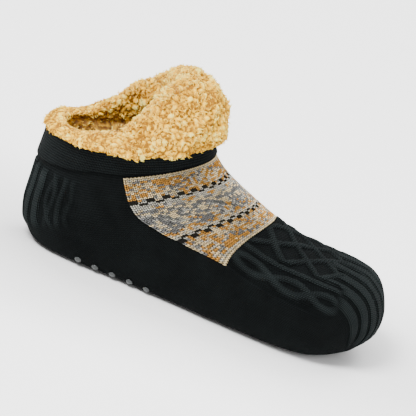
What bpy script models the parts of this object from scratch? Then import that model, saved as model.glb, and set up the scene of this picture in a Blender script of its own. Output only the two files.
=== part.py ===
"""Slipper sock: a knitted ankle sock, its fleece lining turned out as a thick cuff, silicone dots under the sole.

The sock stands on its dots. X runs from the heel to the toe, Y across it and Z up, in metres. The origin is on
the floor, in the middle of the sock's length and width.

Every cloth piece is read from one function, which gives a point of the knit's outer surface from two numbers.
The first is the ring, from 0 at the collar over the heel and the instep to the seam at the toe. The second is
the turn round that ring, from 0 on the front line to half a turn on the back line, which becomes the sole.
"""

import math
from collections import namedtuple

import bmesh
import bpy
import numpy as np

# Driving dimensions of the foot, in metres
FOOT_LENGTH = 0.262
BALL_WIDTH = 0.104
HEEL_WIDTH = 0.076
INSTEP_HEIGHT = 0.0785
TOE_HEIGHT = 0.059

# Driving dimensions of the collar
COLLAR_WIDTH = 0.080
COLLAR_BACK_HEIGHT = 0.084
COLLAR_FRONT_HEIGHT = 0.112
COLLAR_SIDE_DIP = 0.005

# Cloth, and the gap that neighbours keep
KNIT_WALL = 0.0025
LINING_THICKNESS = 0.006
FIT_GAP = 0.0003

# The doubled hem round the collar, and how far down it reaches
BAND_THICKNESS = 0.0022
BAND_FRONT_DEPTH = 0.0145
BAND_BACK_DEPTH = 0.026

# The turned-out fleece: full sizes, of which the sections of the cuff take their shares
CUFF_RISE = 0.038
CUFF_REACH_IN = 0.037
CUFF_OVERHANG = 0.0075
CUFF_DROOP = 0.009
CUFF_CENTRE = 0.13
CURL_HEIGHT = 0.0015
CURL_SPACING = 0.013

# Raised ribs over the front of the toe and down the back of the heel
RIB_HEIGHT = 0.0013
RIB_PITCH = 0.0108
TOE_RIBS = 9
HEEL_RIBS = 7

# The rings between which the heel's ribs rise out of the plain knit, and between which they sink into it again
HEEL_RIBS_RISE = (1.4, 1.9)
HEEL_RIBS_SINK = (3.4, 4.2)

# Silicone dots
DOT_DIAMETER = 0.0052
DOT_HEIGHT = 0.0009
DOT_PITCH = 0.013
DOT_ROW_START = 0.020
DOT_ROW_END = 0.022

# Columns of dots: the share of the sole's half width, and the rows left out at either end
DotColumn = namedtuple("DotColumn", "name share rows_less")
DOT_COLUMNS = (
    DotColumn("left", 0.58, 1),
    DotColumn("middle", 0.0, 0),
    DotColumn("right", -0.58, 1),
)

# How softly the rounded sole turns into the flat that it stands on
SOLE_ROUNDING = 0.003

# Sections from the collar down to the throat. The front line's height is a share of the leg's rise over the
# instep, the back line's a share of the collar's height, and the width is a share of what the collar has more
# than the heel.
LegSection = namedtuple("LegSection", "front_x front_rise back_x back_z flare belly top_power back_power")
LEG_SECTIONS = (
    LegSection(0.420, 1.000, 0.004, 1.000, 1.00, 0.50, 2.15, 2.15),
    LegSection(0.436, 0.660, 0.001, 0.730, 0.55, 0.49, 2.15, 2.15),
    LegSection(0.470, 0.400, 0.000, 0.490, 0.20, 0.47, 2.10, 2.20),
    LegSection(0.515, 0.205, 0.004, 0.280, 0.00, 0.44, 2.05, 2.30),
    LegSection(0.563, 0.045, 0.022, 0.098, -0.25, 0.42, 2.05, 2.45),
)

# Sections from under the heel to the ball. The front line's height is a share of the instep's rise over the toe,
# the back line's a share of the toe's height, and the width a share of what the ball has more than the heel.
VampSection = namedtuple("VampSection", "front_x front_rise back_x back_z spread belly top_power back_power")
VAMP_SECTIONS = (
    VampSection(0.603, 0.860, 0.072, -0.045, -0.07, 0.41, 2.05, 2.70),
    VampSection(0.641, 0.665, 0.160, -0.085, -0.08, 0.40, 2.05, 3.00),
    VampSection(0.679, 0.475, 0.298, -0.085, 0.07, 0.40, 2.10, 3.10),
    VampSection(0.725, 0.255, 0.458, -0.085, 0.42, 0.40, 2.15, 3.20),
    VampSection(0.775, 0.100, 0.611, -0.085, 0.80, 0.40, 2.20, 3.20),
    VampSection(0.832, 0.015, 0.744, -0.085, 1.00, 0.40, 2.25, 3.20),
    VampSection(0.889, -0.045, 0.836, -0.068, 0.93, 0.41, 2.30, 3.00),
)

# Sections of the toe, down to its seam. Heights are shares of the toe's height, widths of the ball's width, and
# the bow is how far a ring's sides lie behind its middle, as a share of the foot's length.
ToeSection = namedtuple("ToeSection", "front_x front_z back_x back_z width belly top_power back_power bow")
TOE_SECTIONS = (
    ToeSection(0.938, 0.925, 0.896, -0.020, 0.890, 0.43, 2.30, 2.70, 0.014),
    ToeSection(0.976, 0.775, 0.932, 0.045, 0.780, 0.45, 2.30, 2.45, 0.020),
    ToeSection(0.996, 0.545, 0.955, 0.100, 0.660, 0.45, 2.30, 2.30, 0.024),
    ToeSection(0.993, 0.340, 0.968, 0.140, 0.560, 0.38, 2.30, 2.30, 0.029),
    ToeSection(0.978, 0.190, 0.978, 0.190, 0.515, 0.38, 2.30, 2.30, 0.030),
)

# The cuff from the front round to the back, by the turn in shares of half a turn. What follows are shares of the
# cuff's full rise, reach, overhang and droop. It is as high on both sides at the front and at the back, and
# between them the far side stands much higher than the near side.
CuffSection = namedtuple("CuffSection", "turn rise_near rise_far reach_in overhang droop")
CUFF_SECTIONS = (
    CuffSection(0.00, 1.00, 1.00, 1.00, 0.60, 0.25),
    CuffSection(0.14, 1.00, 1.03, 0.94, 0.70, 0.25),
    CuffSection(0.27, 0.93, 1.05, 0.76, 0.80, 0.25),
    CuffSection(0.36, 0.72, 1.02, 0.60, 0.80, 0.25),
    CuffSection(0.42, 0.44, 0.95, 0.50, 0.75, 0.22),
    CuffSection(0.48, 0.25, 0.82, 0.44, 0.65, 0.20),
    CuffSection(0.56, 0.17, 0.60, 0.38, 0.55, 0.20),
    CuffSection(0.63, 0.14, 0.37, 0.33, 0.48, 0.18),
    CuffSection(0.71, 0.13, 0.18, 0.30, 0.40, 0.15),
    CuffSection(0.85, 0.13, 0.13, 0.27, 0.30, 0.12),
    CuffSection(1.00, 0.13, 0.13, 0.25, 0.20, 0.12),
)

# Mesh density
OUTER_STEPS = (4, 3, 2, 2, 2, 2, 1, 1, 1, 1, 2, 2, 2, 2, 2, 2)
INNER_STEPS = (1, 1, 1, 2, 2, 1, 1, 1, 1, 1, 1, 1, 1, 1, 1)
FINE_ARC = math.radians(52)
FINE_COLUMNS = 28
SIDE_COLUMNS = 10
LINING_COLUMNS = 36
# How far the inside ends before the last section, and the lining before that, as shares of a section
INSIDE_SHORT = 0.40
LINING_SHORT = 0.05
BAND_COLUMNS = 44
CUFF_COLUMNS = 48
DOT_SIDES = 8

Ring = namedtuple("Ring", "front_x front_z back_x back_z half_width belly top_power back_power bow dip")


def rings():
    """Every section in metres, its heights measured from the sole."""
    found = []
    leg = COLLAR_FRONT_HEIGHT - INSTEP_HEIGHT
    for index, row in enumerate(LEG_SECTIONS):
        width = HEEL_WIDTH + row.flare * (COLLAR_WIDTH - HEEL_WIDTH)
        dip = COLLAR_SIDE_DIP * (1 - index / len(LEG_SECTIONS)) ** 2
        found.append(Ring(
            row.front_x * FOOT_LENGTH, INSTEP_HEIGHT + row.front_rise * leg,
            row.back_x * FOOT_LENGTH, row.back_z * COLLAR_BACK_HEIGHT,
            width / 2, row.belly, row.top_power, row.back_power, 0.0, dip,
        ))
    vamp = INSTEP_HEIGHT - TOE_HEIGHT
    for row in VAMP_SECTIONS:
        width = HEEL_WIDTH + row.spread * (BALL_WIDTH - HEEL_WIDTH)
        found.append(Ring(
            row.front_x * FOOT_LENGTH, TOE_HEIGHT + row.front_rise * vamp,
            row.back_x * FOOT_LENGTH, row.back_z * TOE_HEIGHT,
            width / 2, row.belly, row.top_power, row.back_power, 0.0, 0.0,
        ))
    for row in TOE_SECTIONS:
        found.append(Ring(
            row.front_x * FOOT_LENGTH, row.front_z * TOE_HEIGHT,
            row.back_x * FOOT_LENGTH, row.back_z * TOE_HEIGHT,
            row.width * BALL_WIDTH / 2, row.belly, row.top_power, row.back_power,
            row.bow * FOOT_LENGTH, 0.0,
        ))
    return np.array(found)


RINGS = rings()
LAST_RING = len(RINGS) - 1
TOE_RING = len(LEG_SECTIONS) + len(VAMP_SECTIONS)


def through(rows, at):
    """Rows of numbers read between their own places on a smooth curve through them."""
    at = np.clip(np.asarray(at, float), 0, len(rows) - 1)
    low = np.minimum(at.astype(int), len(rows) - 2)
    share = (at - low)[..., None]
    before = rows[np.maximum(low - 1, 0)]
    start, end = rows[low], rows[low + 1]
    after = rows[np.minimum(low + 2, len(rows) - 1)]
    leave = np.where((low == 0)[..., None], end - start, (end - before) / 2)
    arrive = np.where((low == len(rows) - 2)[..., None], end - start, (after - start) / 2)
    square, cube = share ** 2, share ** 3
    return (
        (2 * cube - 3 * square + 1) * start + (cube - 2 * square + share) * leave
        + (3 * square - 2 * cube) * end + (cube - square) * arrive
    )


def signed_power(value, power):
    return np.sign(value) * np.abs(value) ** power


def settle(height):
    """A height over the sole with what is lower pressed flat, and softly rounded where the flat begins."""
    rounded = (height + SOLE_ROUNDING) ** 2 / (4 * SOLE_ROUNDING)
    pressed = np.where(height < -SOLE_ROUNDING, 0.0, np.where(height < SOLE_ROUNDING, rounded, height))
    return pressed + DOT_HEIGHT + FIT_GAP


def inset_rings(depth):
    """The sections of a surface that lies this deep inside the outer one, short of the seam."""
    made = RINGS[:-1].copy()
    places = np.arange(LAST_RING, dtype=float)
    made[:, 0:2] -= normals(places, 0.0)[:, [0, 2]] * depth
    made[:, 2:4] -= normals(places, math.pi)[:, [0, 2]] * depth
    made[:, 4] -= depth
    return made


def surface(ring, turn, depth=0.0):
    """Points of the smooth outer surface of the knit, or of one that lies inside it."""
    ring, turn = np.broadcast_arrays(np.asarray(ring, float), np.asarray(turn, float))
    sections = inset_rings(depth) if depth else RINGS
    row = Ring(*np.moveaxis(through(sections, ring), -1, 0))
    ahead, aside = np.cos(turn), np.sin(turn)
    on_front = ahead >= 0
    power = 2 / np.where(on_front, row.top_power, row.back_power)
    room = np.where(on_front, 1 - row.belly, row.belly)
    along = row.belly + room * signed_power(ahead, power)
    lateral = signed_power(aside, power)
    x = row.back_x + along * (row.front_x - row.back_x) - row.bow * np.abs(lateral) ** 2.2
    y = row.half_width * lateral
    z = row.back_z + along * (row.front_z - row.back_z) - row.dip * aside ** 2
    return np.stack([x, y, settle(z - depth) + depth], axis=-1)


def normals(ring, turn):
    """Unit normals of the outer surface, pointing out."""
    ring, turn = np.broadcast_arrays(np.asarray(ring, float), np.asarray(turn, float))
    low, high = np.clip(ring - 0.04, 0, LAST_RING - 0.02), np.clip(ring + 0.04, 0.04, LAST_RING)
    down = surface(high, turn) - surface(low, turn)
    # A step round the ring that misses the points where its own direction fades
    around = surface(ring, turn + 0.03) - surface(ring, turn - 0.03)
    across = np.cross(down, around)
    return across / np.maximum(np.linalg.norm(across, axis=-1, keepdims=True), 1e-12)


def offset(ring, turn, outward):
    """Points at a distance from the outer surface, measured square to it."""
    return surface(ring, turn) + normals(ring, turn) * np.asarray(outward)[..., None]


def below_collar(turn, depth):
    """The ring that lies this far down the cloth from the collar."""
    first = np.linalg.norm(surface(1.0, turn) - surface(0.0, turn), axis=-1)
    second = np.linalg.norm(surface(2.0, turn) - surface(1.0, turn), axis=-1)
    depth = np.broadcast_to(depth, first.shape)
    return np.where(depth < first, depth / first, 1 + (depth - first) / second)


def ramp(value, start, end):
    share = np.clip((value - start) / (end - start), 0, 1)
    return share * share * (3 - 2 * share)


def rib_wave(distance, count):
    """Rounded ridges side by side, fading at the outermost ones."""
    ridge = (0.5 + 0.5 * np.cos(2 * math.pi * distance / RIB_PITCH)) ** 0.8
    edge = RIB_PITCH * count / 2
    return ridge * (1 - ramp(np.abs(distance), edge - RIB_PITCH / 4, edge + RIB_PITCH / 4))


def relief(ring, turn):
    """How far the ribs stand out of the plain knit."""
    points = surface(ring, turn)
    on_front = np.cos(turn) > 0
    toe = rib_wave(points[..., 1], TOE_RIBS) * ramp(ring, TOE_RING - 1.2, TOE_RING - 0.2)
    toe = toe * (1 - ramp(ring, LAST_RING - 1.6, LAST_RING - 0.6)) * on_front
    heel = rib_wave(points[..., 1], HEEL_RIBS) * ramp(ring, *HEEL_RIBS_RISE) * (1 - ramp(ring, *HEEL_RIBS_SINK))
    return RIB_HEIGHT * (toe + heel * ~on_front)


def steps_down(counts):
    """Places of the rings of a mesh, from the collar to the toe, with a number of steps in each section."""
    places = [index + step / count for index, count in enumerate(counts) for step in range(count)]
    return np.array(places + [len(counts)])


def even_columns(count):
    return np.arange(count) * 2 * math.pi / count


def knit_columns():
    """Turns of the outer surface's columns, close together on the front and back where the ribs are."""
    fine = np.linspace(0, FINE_ARC, FINE_COLUMNS // 2, endpoint=False)
    side = np.linspace(FINE_ARC, math.pi / 2, SIDE_COLUMNS // 2, endpoint=False)
    quarter = np.concatenate([fine, side])
    half = np.concatenate([quarter, [math.pi / 2], math.pi - quarter[:0:-1]])
    return np.concatenate([half, half + math.pi])


def side_faces(rows, columns):
    """Faces of a tube, row by row from the collar, facing out. All quads are cut along the same diagonal."""
    faces = []
    for row in range(rows - 1):
        for column in range(columns):
            a, b = row * columns + column, row * columns + (column + 1) % columns
            faces += [(a, a + columns, b + columns), (a, b + columns, b)]
    return faces


def seamed(points):
    """A tube that closes along the seam at the toe, where the front and the back of the last row are one."""
    rows, columns, _ = points.shape
    vertices = list(points[:-1].reshape(-1, 3))
    faces = side_faces(rows - 1, columns)
    last = (rows - 2) * columns
    seam = {}
    for column in range(columns):
        mate = (columns // 2 - column) % columns
        if mate in seam:
            seam[column] = seam[mate]
        else:
            seam[column] = len(vertices)
            vertices.append(points[-1, column])
    for column in range(columns):
        after = (column + 1) % columns
        corners = dict.fromkeys((last + column, seam[column], seam[after], last + after))
        faces.append(tuple(corners))
    return np.array(vertices), faces


def capped(points):
    """A tube that closes at the toe with a low cone."""
    rows, columns, _ = points.shape
    vertices = np.vstack([points.reshape(-1, 3), points[-1].mean(axis=0)])
    faces = side_faces(rows, columns)
    last, tip = (rows - 1) * columns, rows * columns
    faces += [(last + column, tip, last + (column + 1) % columns) for column in range(columns)]
    return vertices, faces


def shell(outer, inner, many, few):
    """A hollow closed solid: an outer tube and an inner one, joined by the rim at the collar."""
    outer_points, outer_faces = outer
    inner_points, inner_faces = inner
    shift = len(outer_points)
    turned_in = [tuple(index + shift for index in face[::-1]) for face in inner_faces]
    faces = outer_faces + turned_in + rim(outer_points[:many], inner_points[:few], shift)
    return np.vstack([outer_points, inner_points]), faces


def rim(outer, inner, shift):
    """Triangles between two loops that have different numbers of points and start at the same turn."""
    many, few = len(outer), len(inner)
    faces, column, mate = [], 0, 0
    while column < many or mate < few:
        step_outer = outer[(column + 1) % many] - inner[mate % few]
        step_inner = inner[(mate + 1) % few] - outer[column % many]
        shorter = np.dot(step_outer, step_outer) <= np.dot(step_inner, step_inner)
        if mate >= few or (column < many and shorter):
            faces.append(((column + 1) % many, column % many, mate % few + shift))
            column += 1
        else:
            faces.append((column % many, mate % few + shift, (mate + 1) % few + shift))
            mate += 1
    return faces


def tube_ring(loops):
    """A closed ring from loops of equal length, stacked round its section."""
    stack = np.array(loops)
    count, columns, _ = stack.shape
    faces = []
    for index in range(count):
        following = (index + 1) % count
        for column in range(columns):
            after = (column + 1) % columns
            faces.append((
                index * columns + column, index * columns + after,
                following * columns + after, following * columns + column,
            ))
    return stack.reshape(-1, 3), faces


def material(name, colour, roughness):
    made = bpy.data.materials.new(name)
    made.use_nodes = True
    shader = made.node_tree.nodes["Principled BSDF"]
    shader.inputs["Base Color"].default_value = (*colour, 1.0)
    shader.inputs["Roughness"].default_value = roughness
    shader.inputs["Metallic"].default_value = 0.0
    return made


def piece(name, points, faces, finish, shift):
    """One named object from vertices and faces, its faces turned outward."""
    mesh = bpy.data.meshes.new(name)
    mesh.from_pydata([tuple(point + shift) for point in points], [], faces)
    work = bmesh.new()
    work.from_mesh(mesh)
    bmesh.ops.recalc_face_normals(work, faces=work.faces)
    work.to_mesh(mesh)
    work.free()
    mesh.shade_smooth()
    mesh.set_sharp_from_angle(angle=math.radians(50))
    mesh.materials.append(finish)
    made = bpy.data.objects.new(name, mesh)
    bpy.context.collection.objects.link(made)
    return made


def knit_upper():
    """The knitted outer, one wall from the collar round the heel and sole to the toe."""
    outer_rings = steps_down(OUTER_STEPS)[:, None]
    outer_turns = knit_columns()[None, :]
    outside = offset(outer_rings, outer_turns, relief(outer_rings, outer_turns))
    # The seam closes on one line, as both of its lips are the same row of stitches
    outside[-1] = surface(LAST_RING, outer_turns[0])
    return shell(seamed(outside), capped(inside(KNIT_WALL, INSIDE_SHORT)), outside.shape[1], LINING_COLUMNS)


def inside(depth, short):
    """A tube inside the outer surface, which ends this share of a section short of the last one."""
    places = steps_down(INNER_STEPS)
    places[-1] -= short
    return surface(places[:, None], even_columns(LINING_COLUMNS)[None, :], depth)


def lining():
    """The fleece bag: its outside clears the knit, and its inside is where the foot goes."""
    depth = KNIT_WALL + FIT_GAP
    short = INSIDE_SHORT + LINING_SHORT
    outer = capped(inside(depth, short))
    inner = capped(inside(depth + LINING_THICKNESS, short))
    return shell(outer, inner, LINING_COLUMNS, LINING_COLUMNS)


def band():
    """The doubled hem: flat inside, with a rounded fold at its lower edge."""
    turns = even_columns(BAND_COLUMNS)
    depth = BAND_FRONT_DEPTH + (BAND_BACK_DEPTH - BAND_FRONT_DEPTH) * (0.5 - 0.5 * np.cos(turns)) ** 1.5
    outline = (
        (0.0, 0.0), (0.0, 1.0), (0.50, 1.0), (0.90, 1.0), (1.0, 0.4), (1.0, 0.0), (0.75, 0.0), (0.5, 0.0),
        (0.25, 0.0),
    )
    loops = []
    for down, out in outline:
        place = below_collar(turns, down * depth)
        loops.append(offset(place, turns, np.full(turns.shape, FIT_GAP + out * BAND_THICKNESS)))
    return tube_ring(loops)


def curls(points, spacing, height, origin):
    """Rounded lumps over a surface, from rows of bumps whose places drift from row to row."""
    x, y, z = np.moveaxis((points - origin) / spacing, -1, 0)
    first = np.sin(2 * math.pi * x + 2.1 * np.sin(1.7 * y + 0.4)) * np.sin(2 * math.pi * y + 1.9 * np.sin(1.3 * z))
    second = np.sin(2 * math.pi * (0.7 * z + 0.6 * y) + 1.5 * np.sin(1.9 * x + 1.0))
    return height * (0.6 * first + 0.4 * second)


def cuff_sizes(turns):
    """Rise, inward reach, overhang and droop of the cuff at each turn, in metres."""
    half = np.abs(np.mod(turns + math.pi, 2 * math.pi) - math.pi) / math.pi
    table = np.array(CUFF_SECTIONS)
    columns = through(table, np.interp(half, table[:, 0], np.arange(len(table))))
    far = ramp(np.sin(turns), -0.35, 0.35)
    rise = (columns[..., 1] * (1 - far) + columns[..., 2] * far) * CUFF_RISE
    return rise, columns[..., 3] * CUFF_REACH_IN, columns[..., 4] * CUFF_OVERHANG, columns[..., 5] * CUFF_DROOP


def cuff():
    """The turned-out fleece: it sits on the rims of knit, band and lining, and hangs over the band."""
    turns = even_columns(CUFF_COLUMNS)
    edge = surface(0.0, turns)
    # The roll leans towards a point over the heel, so that its folds don't cross where it is fullest
    out = edge - np.array([CUFF_CENTRE * FOOT_LENGTH, 0.0, 0.0])
    out[:, 2] = 0
    out /= np.linalg.norm(out, axis=-1, keepdims=True)
    up = np.array([0.0, 0.0, 1.0])
    rise, reach, overhang, droop = cuff_sizes(turns)
    root = KNIT_WALL + FIT_GAP + LINING_THICKNESS
    face = FIT_GAP + BAND_THICKNESS + FIT_GAP

    def local(outward, height):
        return edge + out * np.broadcast_to(outward, turns.shape)[:, None] + up * np.broadcast_to(
            height, turns.shape)[:, None]

    seat_height = up * 2 * FIT_GAP

    def beside_band(down, more):
        place = below_collar(turns, droop * down)
        return offset(place, turns, np.broadcast_to(face + more, turns.shape))

    # The underside lies on the rims, and the lip follows the band
    seat = [
        surface(0.0, turns, root) + seat_height,
        surface(0.0, turns, KNIT_WALL) + seat_height,
        offset(0.0, turns, np.full(turns.shape, face)) + seat_height,
        beside_band(0.95, 0.0),
    ]
    lip = [beside_band(1.08, overhang * 0.45), beside_band(0.75, overhang * 0.95)]
    belly = overhang + face
    lean = np.maximum(reach - root, 0)
    skin = [
        local(belly, rise * 0.16),
        local(belly * 0.78, rise * 0.38),
        local(belly * 0.12, rise * 0.60),
        local(-lean * 0.20, rise * 0.80),
        local(-lean * 0.45 - root * 0.35, rise * 0.95),
        local(-lean * 0.74 - root * 0.70, rise),
        local(-lean - root * 0.92, rise * 0.78),
        local(-lean * 0.90 - root, rise * 0.42),
        local(-lean * 0.42 - root, rise * 0.16),
    ]
    middle = local(-root * 0.3 - lean * 0.3, rise * 0.5)
    rough = []
    for loop in lip + skin:
        away = loop - middle
        away /= np.linalg.norm(away, axis=-1, keepdims=True)
        size = np.minimum(CURL_HEIGHT, rise * 0.16)
        lump = curls(loop, CURL_SPACING, 1.0, edge[0]) * size
        rough.append(loop + away * np.maximum(lump, -size * 0.6)[:, None])
    rough[0] = lip[0]
    return tube_ring(seat + rough)


def sole_place(share, x):
    """Ring and turn of the point of the sole at a length along the foot and a share of the half width."""
    turn = math.pi - math.copysign(math.asin(abs(share) ** 1.6), share)
    places = np.linspace(len(LEG_SECTIONS) - 1.5, LAST_RING - 1, 400)
    line = surface(places, turn)
    return float(np.interp(x, line[:, 0], places)), turn


def dot(place, turn):
    """A low round dot with sloping sides, its narrow end down."""
    centre = surface(place, turn)
    down = normals(place, turn)
    along = np.array([1.0, 0.0, 0.0]) - down * down[0]
    along /= np.linalg.norm(along)
    across = np.cross(down, along)
    points = []
    for height, radius in ((FIT_GAP, 1.0), (FIT_GAP + DOT_HEIGHT, 0.72)):
        for side in range(DOT_SIDES):
            angle = 2 * math.pi * side / DOT_SIDES
            reach = radius * DOT_DIAMETER / 2
            point = centre + down * height + along * reach * math.cos(angle) + across * reach * math.sin(angle)
            # On the rounded edge of the sole a dot's rim is pressed flat on the floor
            point[2] = max(point[2], 0.0)
            points.append(point)
    faces = [tuple(range(DOT_SIDES)), tuple(range(2 * DOT_SIDES - 1, DOT_SIDES - 1, -1))]
    for side in range(DOT_SIDES):
        after = (side + 1) % DOT_SIDES
        faces.append((side, after, after + DOT_SIDES, side + DOT_SIDES))
    return np.array(points), faces


def clear_scene():
    for old in list(bpy.data.objects):
        bpy.data.objects.remove(old)


def main():
    clear_scene()
    black_knit = material("black_knit", (0.012, 0.014, 0.014), 0.9)
    band_knit = material("band_knit", (0.016, 0.018, 0.018), 0.9)
    fleece = material("cream_fleece", (0.72, 0.50, 0.24), 0.95)
    turned_fleece = material("turned_fleece", (0.76, 0.54, 0.27), 0.95)
    silicone = material("clear_silicone", (0.55, 0.56, 0.55), 0.3)

    cloth = {
        "knit_upper_with_sole": (knit_upper(), black_knit),
        "collar_band": (band(), band_knit),
        "fleece_lining": (lining(), fleece),
        "fleece_cuff": (cuff(), turned_fleece),
    }
    # The origin is in the middle of the whole length
    lengths = np.concatenate([points[:, 0] for (points, _), _ in cloth.values()])
    shift = np.array([-(lengths.min() + lengths.max()) / 2, 0.0, 0.0])
    for name, ((points, faces), finish) in cloth.items():
        piece(name, points, faces, finish, shift)

    room = FOOT_LENGTH - DOT_ROW_START - DOT_ROW_END
    rows = int(room / DOT_PITCH) + 1
    for column in DOT_COLUMNS:
        for row in range(column.rows_less, rows - column.rows_less):
            place, turn = sole_place(column.share, DOT_ROW_START + row * DOT_PITCH)
            piece(f"grip_dot_{column.name}_{row + 1:02d}", *dot(place, turn), silicone, shift)


main()
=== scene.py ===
"""A knitted slipper sock with a fleece cuff: what is seen of it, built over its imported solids.

The knit, the panel, the band and the fleece are all read from one surface, which takes two numbers. The
ring runs from 0 at the collar over heel and instep to the seam at the toe. The turn goes round that ring,
from 0 on the front line to half a turn on the back line, which becomes the sole. Lengths are in metres and
start at the heel's end. Every mesh is moved into the frame of the solids as it is made.
"""
import math
from collections import namedtuple

import bpy
import numpy as np
from bpy.props import FloatProperty, FloatVectorProperty, IntProperty, PointerProperty
from mathutils import Matrix, Vector
from mathutils.kdtree import KDTree


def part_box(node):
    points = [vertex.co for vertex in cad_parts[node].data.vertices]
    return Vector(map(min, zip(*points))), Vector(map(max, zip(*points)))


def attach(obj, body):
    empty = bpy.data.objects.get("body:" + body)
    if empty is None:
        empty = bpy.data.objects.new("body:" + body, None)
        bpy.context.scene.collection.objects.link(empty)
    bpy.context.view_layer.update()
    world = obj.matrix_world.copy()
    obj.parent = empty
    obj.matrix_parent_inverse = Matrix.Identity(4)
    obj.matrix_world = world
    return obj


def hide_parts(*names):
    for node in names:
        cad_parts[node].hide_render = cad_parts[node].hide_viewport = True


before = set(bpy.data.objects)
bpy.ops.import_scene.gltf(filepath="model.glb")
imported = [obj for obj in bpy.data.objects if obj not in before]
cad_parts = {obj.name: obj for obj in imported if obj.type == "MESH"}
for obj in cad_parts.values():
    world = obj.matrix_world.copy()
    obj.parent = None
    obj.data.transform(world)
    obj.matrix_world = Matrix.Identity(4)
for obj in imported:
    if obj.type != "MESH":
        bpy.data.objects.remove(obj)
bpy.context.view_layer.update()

bl_info = {
    "name": "Slipper sock",
    "version": (1, 0, 0),
    "blender": (4, 5, 0),
    "location": "3D View > Sidebar > Slipper Sock",
    "description": "Builds a knitted slipper sock with a turned-out fleece cuff over its packed solids",
    "category": "Object",
}

MM = 0.001
HALF_TURN = math.pi

# Sizes that the solids are built from
FOOT_LENGTH = 0.262
BALL_WIDTH = 0.104
HEEL_WIDTH = 0.076
INSTEP_HEIGHT = 0.0785
TOE_HEIGHT = 0.059
COLLAR_WIDTH = 0.080
COLLAR_BACK_HEIGHT = 0.084
COLLAR_FRONT_HEIGHT = 0.112
COLLAR_SIDE_DIP = 0.005
KNIT_WALL = 0.0025
LINING_THICKNESS = 0.006
FIT_GAP = 0.0003
BAND_THICKNESS = 0.0022
BAND_FRONT_DEPTH = 0.0145
BAND_BACK_DEPTH = 0.026
CUFF_RISE = 0.038
CUFF_REACH_IN = 0.037
CUFF_OVERHANG = 0.0075
CUFF_DROOP = 0.009
CUFF_CENTRE = 0.13
SOLE_ROUNDING = 0.003
SOLE_LIFT = 0.0012
DOT_ROW_START = 0.020
DOT_PITCH = 0.013

# Where the heel's hindmost point lies, found from the first dot of the middle row
HEEL_X = (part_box("grip_dot_middle_01")[0][0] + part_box("grip_dot_middle_01")[1][0]) / 2 - DOT_ROW_START
SHIFT = np.array([HEEL_X, 0.0, 0.0])

# Sections of leg and vamp, as shares: front x and height, back x and height, width, belly, two powers
LEG_SECTIONS = (
    (0.420, 1.000, 0.004, 1.000, 1.00, 0.50, 2.15, 2.15),
    (0.436, 0.660, 0.001, 0.730, 0.55, 0.49, 2.15, 2.15),
    (0.470, 0.400, 0.000, 0.490, 0.20, 0.47, 2.10, 2.20),
    (0.515, 0.205, 0.004, 0.280, 0.00, 0.44, 2.05, 2.30),
    (0.563, 0.045, 0.022, 0.098, -0.25, 0.42, 2.05, 2.45),
)
VAMP_SECTIONS = (
    (0.603, 0.860, 0.072, -0.045, -0.07, 0.41, 2.05, 2.70),
    (0.641, 0.665, 0.160, -0.085, -0.08, 0.40, 2.05, 3.00),
    (0.679, 0.475, 0.298, -0.085, 0.07, 0.40, 2.10, 3.10),
    (0.725, 0.255, 0.458, -0.085, 0.42, 0.40, 2.15, 3.20),
    (0.775, 0.100, 0.611, -0.085, 0.80, 0.40, 2.20, 3.20),
    (0.832, 0.015, 0.744, -0.085, 1.00, 0.40, 2.25, 3.20),
    (0.889, -0.045, 0.836, -0.068, 0.93, 0.41, 2.30, 3.00),
)
# Sections of the toe, the last number being how far a ring's sides lie behind its middle
TOE_SECTIONS = (
    (0.938, 0.925, 0.896, -0.020, 0.890, 0.43, 2.30, 2.70, 0.014),
    (0.976, 0.775, 0.932, 0.045, 0.780, 0.45, 2.30, 2.45, 0.020),
    (0.996, 0.545, 0.955, 0.100, 0.660, 0.45, 2.30, 2.30, 0.024),
    (0.993, 0.340, 0.968, 0.140, 0.560, 0.38, 2.30, 2.30, 0.029),
    (0.978, 0.190, 0.978, 0.190, 0.515, 0.38, 2.30, 2.30, 0.030),
)
# The cuff's foot and lip beside the band: how far down its droop, and how far out in its overhang
CUFF_LIP = ((0.95, 0.0), (1.08, 0.45), (0.75, 0.95))
# Its skin from there over the top and in: shares of belly outward, of lean and root inward, and of rise
CUFF_SKIN = (
    (1.0, 0.0, 0.0, 0.16),
    (0.78, 0.0, 0.0, 0.38),
    (0.12, 0.0, 0.0, 0.60),
    (0.0, 0.20, 0.0, 0.80),
    (0.0, 0.45, 0.35, 0.95),
    (0.0, 0.74, 0.70, 1.0),
    (0.0, 1.0, 0.92, 0.78),
    (0.0, 0.90, 1.0, 0.42),
    (0.0, 0.42, 1.0, 0.16),
)
# The cuff by the turn in shares of half a turn: rise near and far, reach in, overhang and droop, as shares
CUFF_SECTIONS = (
    (0.00, 1.00, 1.00, 1.00, 0.60, 0.25),
    (0.14, 1.00, 1.03, 0.94, 0.70, 0.25),
    (0.27, 0.93, 1.05, 0.76, 0.80, 0.25),
    (0.36, 0.72, 1.02, 0.60, 0.80, 0.25),
    (0.42, 0.44, 0.95, 0.50, 0.75, 0.22),
    (0.48, 0.25, 0.82, 0.44, 0.65, 0.20),
    (0.56, 0.17, 0.60, 0.38, 0.55, 0.20),
    (0.63, 0.14, 0.37, 0.33, 0.48, 0.18),
    (0.71, 0.13, 0.18, 0.30, 0.40, 0.15),
    (0.85, 0.13, 0.13, 0.27, 0.30, 0.12),
    (1.00, 0.13, 0.13, 0.25, 0.20, 0.12),
)
Section = namedtuple(
    "Section", "front_x front_z back_x back_z half_width belly top_power back_power bow dip")
BOW_POWER = 2.2

# Steps along and round the surface over which its slope is measured
RING_STEP = 0.04
TURN_STEP = 0.03


# The surface that every cloth piece is read from


def between(start, end, share):
    """The place that lies this share of the way from start to end."""
    return start + share * (end - start)


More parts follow.
